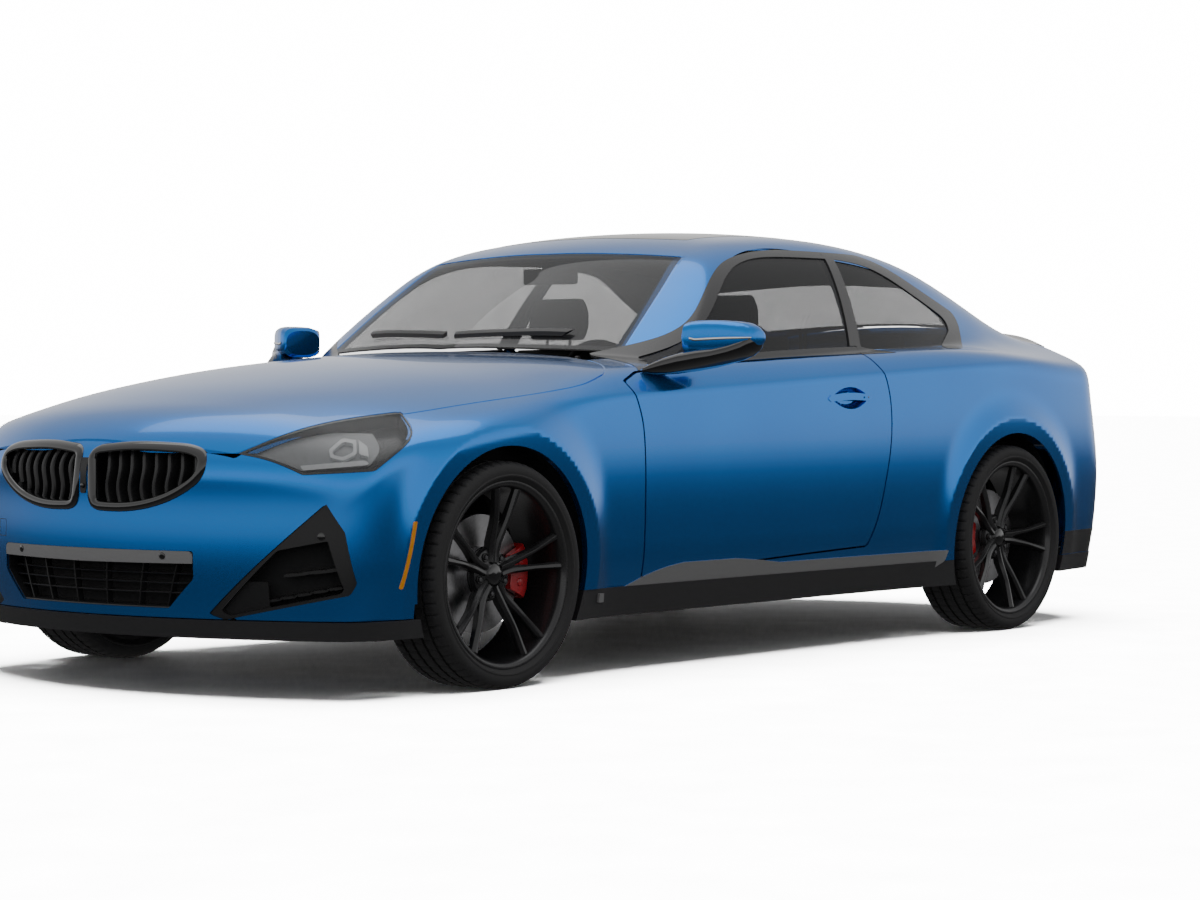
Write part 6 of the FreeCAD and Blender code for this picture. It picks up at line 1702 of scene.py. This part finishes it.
DASH = [(FA + 535, 570), (FA + 535, 850), (FA + 700, 890), (FA + 860, 910), (FA + 944, 905),
        (FA + 985, 872), (FA + 950, 710), (FA + 880, 570)]
dash = swept(DASH, [(-616, 0.97, 0), (-606, 1, 0), (606, 1, 0), (616, 0.97, 0)])
add_part("dash_pad", dash, LEATHER, "car_body", ["dashboard"], angle=40)
for hand, sign in (("left", -1), ("right", 1)):
    end = swept([(FA + 730, 590), (FA + 730, 786), (FA + 925, 786), (FA + 944, 700),
                 (FA + 880, 590)], [(sign * 606, 1, 0), (sign * 720, 1, 0), (sign * 732, 0.95, 0)])
    add_part("dash_end_" + hand, end, PLASTIC, "car_body", ["dashboard"], angle=40)
add_part("dash_screen", rounded_block(FA + 944, FA + 960, -130, 130, 800, 908, 5), GLOSS_BLACK,
         "car_body", ["dashboard"], angle=40)
add_part("dash_cluster", rounded_block(FA + 950, FA + 992, -500, -250, 800, 900, 12), GLOSS_BLACK,
         "car_body", ["dashboard"], angle=40)
for number, y in enumerate((-570, -190, 190, 570)):
    slats = [rounded_block(FA + 950, FA + 984, y - 42, y + 42, z, z + 5, 2, 3)
             for z in range(806, 850, 9)]
    add_part("dash_vent_%d" % number, joined(*slats), SATIN_BLACK, "car_body", ["dashboard"],
             angle=40)
add_part("dash_strip", rounded_block(FA + 952, FA + 974, -600, 600, 776, 788, 4), SATIN_GREY,
         "car_body", ["dashboard"], angle=40)

# Steering wheel: a leather rim on three metal spokes round a padded centre, splined to a tilted
# column with a plastic cover.

COLUMN = math.radians(24.0)
WHEEL_CENTRE = np.array([FA + 1110, -372.0, 850.0])


def in_wheel(side, up, along):
    """Places of the steering wheel's own frame in the car."""
    return (WHEEL_CENTRE + np.multiply.outer(side, wheel_side) + np.multiply.outer(up, wheel_up)
            + np.multiply.outer(along, axis_way))


axis_way = np.array([math.cos(COLUMN), 0.0, math.sin(COLUMN)])
wheel_up = np.array([-math.sin(COLUMN), 0.0, math.cos(COLUMN)])
wheel_side = np.array([0.0, 1.0, 0.0])
around = np.linspace(0, 2 * np.pi, 97)[:-1]
tube_turn = np.linspace(0, 2 * np.pi, 17)[:-1]
ring_r = 170 + 14 * np.cos(tube_turn)[None, :]
hoop = in_wheel(np.sin(around)[:, None] * ring_r, np.cos(around)[:, None] * ring_r,
                np.broadcast_to(13 * np.sin(tube_turn), (96, 16))).reshape(-1, 3)
hoop_faces = grid_faces(96, 16, True, True).tolist()
first_normal = np.cross(hoop[hoop_faces[0][1]] - hoop[hoop_faces[0][0]],
                        hoop[hoop_faces[0][2]] - hoop[hoop_faces[0][0]])
centre_line = in_wheel(np.array(0.0), np.array(170.0), np.array(0.0))
if np.dot(first_normal, hoop[hoop_faces[0][0]] - centre_line) < 0:
    hoop_faces = [face[::-1] for face in hoop_faces]
add_part("wheel_rim_leather", (hoop, hoop_faces), LEATHER, "steering_wheel_body",
         ["steering_wheel"], angle=180)
spokes = []
for degrees in (-90, 90, 180):
    angle = math.radians(degrees)
    way = np.array([math.sin(angle), math.cos(angle)])
    rows = []
    for reach, wide, deep in ((30, 34, 10), (70, 30, 9), (120, 22, 7), (160, 26, 6)):
        ring = [(c * wide, s * deep) for c, s in
                zip(np.cos(tube_turn), np.sin(tube_turn))]
        rows.append([in_wheel(way[0] * reach + way[1] * a, way[1] * reach - way[0] * a, b - 4)
                     for a, b in ring])
    spokes.append(loft(rows))
add_part("wheel_spokes", joined(*spokes), SATIN_GREY, "steering_wheel_body", ["steering_wheel"],
         angle=50)
hub_rows = []
for radius, along in ((30, -58), (32, -32), (56, -26), (62, -14), (60, 2), (44, 8), (0.5, 10)):
    hub_rows.append(in_wheel(radius * np.sin(around), radius * np.cos(around),
                             np.full(96, float(along))))
add_part("wheel_hub_pad", loft(hub_rows, 1), LEATHER, "steering_wheel_body", ["steering_wheel"],
         angle=50)
shroud_rows = []
for radius, along in ((34, -190), (36, -120), (36, -70), (30, -62)):
    shroud_rows.append(in_wheel(radius * 1.2 * np.sin(around), radius * np.cos(around),
                                np.full(96, float(along))))
add_part("column_cover", loft(shroud_rows), PLASTIC, "car_body", ["dashboard"], angle=50)

# Console: a plastic box between the seats with an armrest and a short selector, screwed to the
# floor's tunnel.

console = swept([(FA + 890, 370), (FA + 890, 560), (FA + 960, 600), (FA + 1130, 545),
                 (FA + 1500, 542), (FA + 1570, 592), (FA + 1738, 592), (FA + 1752, 370)],
                [(-103, 0.97, 0), (-96, 1, 0), (96, 1, 0), (103, 0.97, 0)])
add_part("console_body", console, PLASTIC, "car_body", ["centre_console"], angle=40)
add_part("console_selector", rounded_block(FA + 1190, FA + 1240, -24, 24, 536, 598, 12),
         GLOSS_BLACK, "car_body", ["centre_console"], angle=40)

# Linings: a leather card clipped inside each door, and a grey cloth headliner glued under the
# roof.

HEADLINER = surface("headliner_grey", (0.18, 0.18, 0.18), 0.95, grain=1300, bump=0.4)
card = shell(lower_body, section_rays(FA + 640, RA - 740, 70, SPINE_Z, door_targets), 60.6,
             [in_side(DOOR_RING, -26)], 3.0, inboard)
for hand in ("left", "right"):
    add_skin("door_card_" + hand, to_hand(card, hand), LEATHER, "door_%s_body" % hand,
             ["door_" + hand])
lining_grid = section_rays(FA + 680, RA + 600, 70, ROOF_SPINE_Z, roof_targets, 30.0)
add_skin("headliner", shell(whole_body, lining_grid, 24.6, [roof_plan], 3.0), HEADLINER,
         "car_body", ["roof_panel"])

# Tail lamps: red plastic lenses on the rear corners and on the boot lid, bolted on from inside.

RED_LENS = surface("red_lens", (0.30, 0.006, 0.010), 0.10, grain=60, coat=1.0)
tail_rays = fan_rays(RA + 60, 100, 182, 220, 755, 925, 64)
tail_cuts = [in_rear_corner(TAIL_LAMP_RING, -3.0), off(trunk_gap)]
tail = shell(whole_body, tail_rays, 0.6, tail_cuts, 22.0)
add_skin("tail_lenses", both_sides(tail), RED_LENS, "car_body", ["tail_lamps"])
lid_rays = deck_rays(RA + 480, 720.0, 660, 320, 34, 6, 70)
lid_lens = shell(whole_body, lid_rays, 0.6, [in_front(LID_LAMP_RING, -0.5)], 16.0)
add_skin("lid_lenses", both_sides(lid_lens), RED_LENS, "trunk_lid_body",
         ["lid_lamps"])

# Rear bumper's lower part: a grained black plastic panel clipped under the painted skin, which
# it stands just proud of.

DIFFUSER_RING = runs(
    [(-900, 336)],
    [(-760, 340), (-640, 352), (-560, 372)],
    [(560, 372)],
    [(640, 352), (760, 340), (900, 336)],
    [(900, 240)],
    [(-900, 240)])
diffuser_rays = fan_rays(RA + 60, 98, 262, 150, 240, 380, 16)
add_skin("rear_lower_panel", shell(lower_body, diffuser_rays, -1.2,
                                   [in_front(DIFFUSER_RING), wheel_cut(RA), above(252)], 8.0),
         PLASTIC, "car_body")

# Sunroof: a dark glass panel set in the roof on its sliding frame.

SUNROOF_RING = runs(
    (-20, 0),
    [(-12, -250), (20, -410)],
    [(300, -416), (560, -410)],
    [(572, -200), (574, 0)])
add_skin("sunroof_glass", shell(whole_body, roof_grid, -0.7,
                                [in_plan(mirrored_ring(SUNROOF_RING))], 4.0, downward),
         GLOSS_BLACK, "car_body")

# Towing eye's cover: a small square plastic flap in the front bumper cover, seen as its shut
# line.

TOW_COVER_RING = straight([(396, 430), (396, 480), (438, 480), (438, 430)])
cover_line = band(outline(TOW_COVER_RING), [(0.0, 2.0), (0.0, -0.3), (1.6, -0.3), (1.6, 2.0)],
                  on_nose)
add_part("tow_cover_line", cover_line, PLASTIC, "car_body")

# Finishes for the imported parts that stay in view: brake discs, running gear, underbody, cowl,
# wipers and other pieces that need no finer shape.

NODE_FINISH = {
    "brake_disc": STEEL, "cowl": PLASTIC, "door_hinges": SATIN_BLACK, "engine_block": CAST,
    "exhaust": STEEL, "front_knuckle": CAST, "front_struts": SATIN_BLACK, "front_subframe": CAST,
    "interior_mirror": SATIN_BLACK, "lower_trim": PLASTIC, "parcel_shelf": CARPET,
    "rear_axle": CAST, "spoiler": GLOSS_BLACK, "underbody": PLASTIC, "wheel_arch_liners": LINER,
    "wipers": SATIN_BLACK,
}
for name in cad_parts:
    thing = bpy.data.objects.get(name)
    if thing is None:
        continue
    for key, finish in NODE_FINISH.items():
        if name.startswith(key):
            thing.data.materials.clear()
            thing.data.materials.append(finish)

# Floor and studio: a plain white ground under the wheels that only the camera sees, and a soft
# grey surrounding that the paint reflects.

FLOOR_REACH = 60000
FLOOR_Z = -0.5
SKY = [(0.0, 0.20), (0.35, 0.10), (0.485, 0.06), (0.505, 0.95), (0.60, 0.80), (0.75, 0.55),
       (1.0, 0.75)]
floor = add_mesh("floor", [(-FLOOR_REACH, -FLOOR_REACH, FLOOR_Z), (FLOOR_REACH, -FLOOR_REACH, FLOOR_Z),
                           (FLOOR_REACH, FLOOR_REACH, FLOOR_Z), (-FLOOR_REACH, FLOOR_REACH, FLOOR_Z)],
                 [[0, 1, 2, 3]], surface("floor_white", (0.86, 0.86, 0.86), 0.55, grain=4), "car_body")
floor.visible_glossy = False
floor.visible_diffuse = False
world = bpy.data.worlds.new("studio")
bpy.context.scene.world = world
world.use_nodes = True
sky = world.node_tree.nodes
background = sky["Background"]
background.inputs["Strength"].default_value = 1.0
looking_at = sky.new("ShaderNodeTexCoord")
parts = sky.new("ShaderNodeSeparateXYZ")
height = sky.new("ShaderNodeMapRange")
height.inputs["From Min"].default_value = -1.0
shade = sky.new("ShaderNodeValToRGB")
while len(shade.color_ramp.elements) < len(SKY):
    shade.color_ramp.elements.new(0.5)
for element, (place, tone) in zip(shade.color_ramp.elements, SKY):
    element.position = place
    element.color = (tone, tone, tone, 1)
wires = world.node_tree.links
wires.new(looking_at.outputs["Generated"], parts.inputs["Vector"])
wires.new(parts.outputs["Z"], height.inputs["Value"])
wires.new(height.outputs["Result"], shade.inputs["Fac"])
wires.new(shade.outputs["Color"], background.inputs["Color"])

# A plain white backdrop that only the camera sees, and a wide light for the floor alone

BACKDROP_GLOW = 16.0
WALL_RADIUS = 70000
WALL_FOOT = -300
WALL_TOP = 45000
WALL_SIDES = 60
FLOOR_SUN_POWER = 55.0
FLOOR_SUN_SPREAD = math.radians(60)
glow = bpy.data.materials.new("backdrop_white")
glow.use_nodes = True
glow.node_tree.nodes.clear()
lit = glow.node_tree.nodes.new("ShaderNodeEmission")
lit.inputs["Strength"].default_value = BACKDROP_GLOW
result = glow.node_tree.nodes.new("ShaderNodeOutputMaterial")
glow.node_tree.links.new(lit.outputs["Emission"], result.inputs["Surface"])
wall_turns = np.radians(np.arange(WALL_SIDES) * 360 / WALL_SIDES)
wall = [(WALL_RADIUS * math.cos(t), WALL_RADIUS * math.sin(t), z) for z in (WALL_FOOT, WALL_TOP)
        for t in wall_turns]
wall_faces = [[k, (k + 1) % WALL_SIDES, WALL_SIDES + (k + 1) % WALL_SIDES, WALL_SIDES + k]
              for k in range(WALL_SIDES)]
roof_faces = [[WALL_SIDES + k, WALL_SIDES + (k + 1) % WALL_SIDES, 2 * WALL_SIDES]
              for k in range(WALL_SIDES)]
backdrop = add_mesh("backdrop", wall + [(0, 0, WALL_TOP)], wall_faces + roof_faces, glow, "car_body")
for ray in ("visible_glossy", "visible_diffuse", "visible_shadow", "visible_transmission"):
    setattr(backdrop, ray, False)
sun = bpy.data.lights.new("floor_light", "SUN")
sun.energy = FLOOR_SUN_POWER
sun.angle = FLOOR_SUN_SPREAD
floor_light = bpy.data.objects.new("floor_light", sun)
bpy.context.scene.collection.objects.link(floor_light)
floor_only = bpy.data.collections.new("floor_only")
floor_only.objects.link(floor)
floor_light.light_linking.receiver_collection = floor_only

# A wide soft light from above, and the camera at the photograph's view

KEY_PLACE = (0.0, 0.0, 6.0)
KEY_WIDTH = 5.0
KEY_LENGTH = 9.0
KEY_POWER = 120.0
LENS_LENGTH = 92.35
VIEW_PLACE = (-8.1417, -6.6510, 0.8860)
VIEW_TURN = math.radians(-50.992)
VIEW_TILT = math.radians(1.2917)
key = bpy.data.lights.new("key_above", "AREA")
key.shape = "RECTANGLE"
key.size = KEY_WIDTH
key.size_y = KEY_LENGTH
key.energy = KEY_POWER
key_light = bpy.data.objects.new("key_above", key)
bpy.context.scene.collection.objects.link(key_light)
key_light.location = KEY_PLACE
key_light.rotation_euler = (-Vector(KEY_PLACE)).to_track_quat("-Z", "Y").to_euler()
camera = bpy.data.cameras.new("photo_view")
camera.lens = LENS_LENGTH
camera.sensor_width = 36.0
camera.sensor_fit = "HORIZONTAL"
camera.clip_end = 500.0
viewer = bpy.data.objects.new("photo_view", camera)
bpy.context.scene.collection.objects.link(viewer)
looking = Vector((-math.sin(VIEW_TURN) * math.cos(VIEW_TILT), math.cos(VIEW_TURN) * math.cos(VIEW_TILT),
                  -math.sin(VIEW_TILT)))
viewer.location = VIEW_PLACE
viewer.rotation_euler = looking.to_track_quat("-Z", "Y").to_euler()
bpy.context.scene.camera = viewer
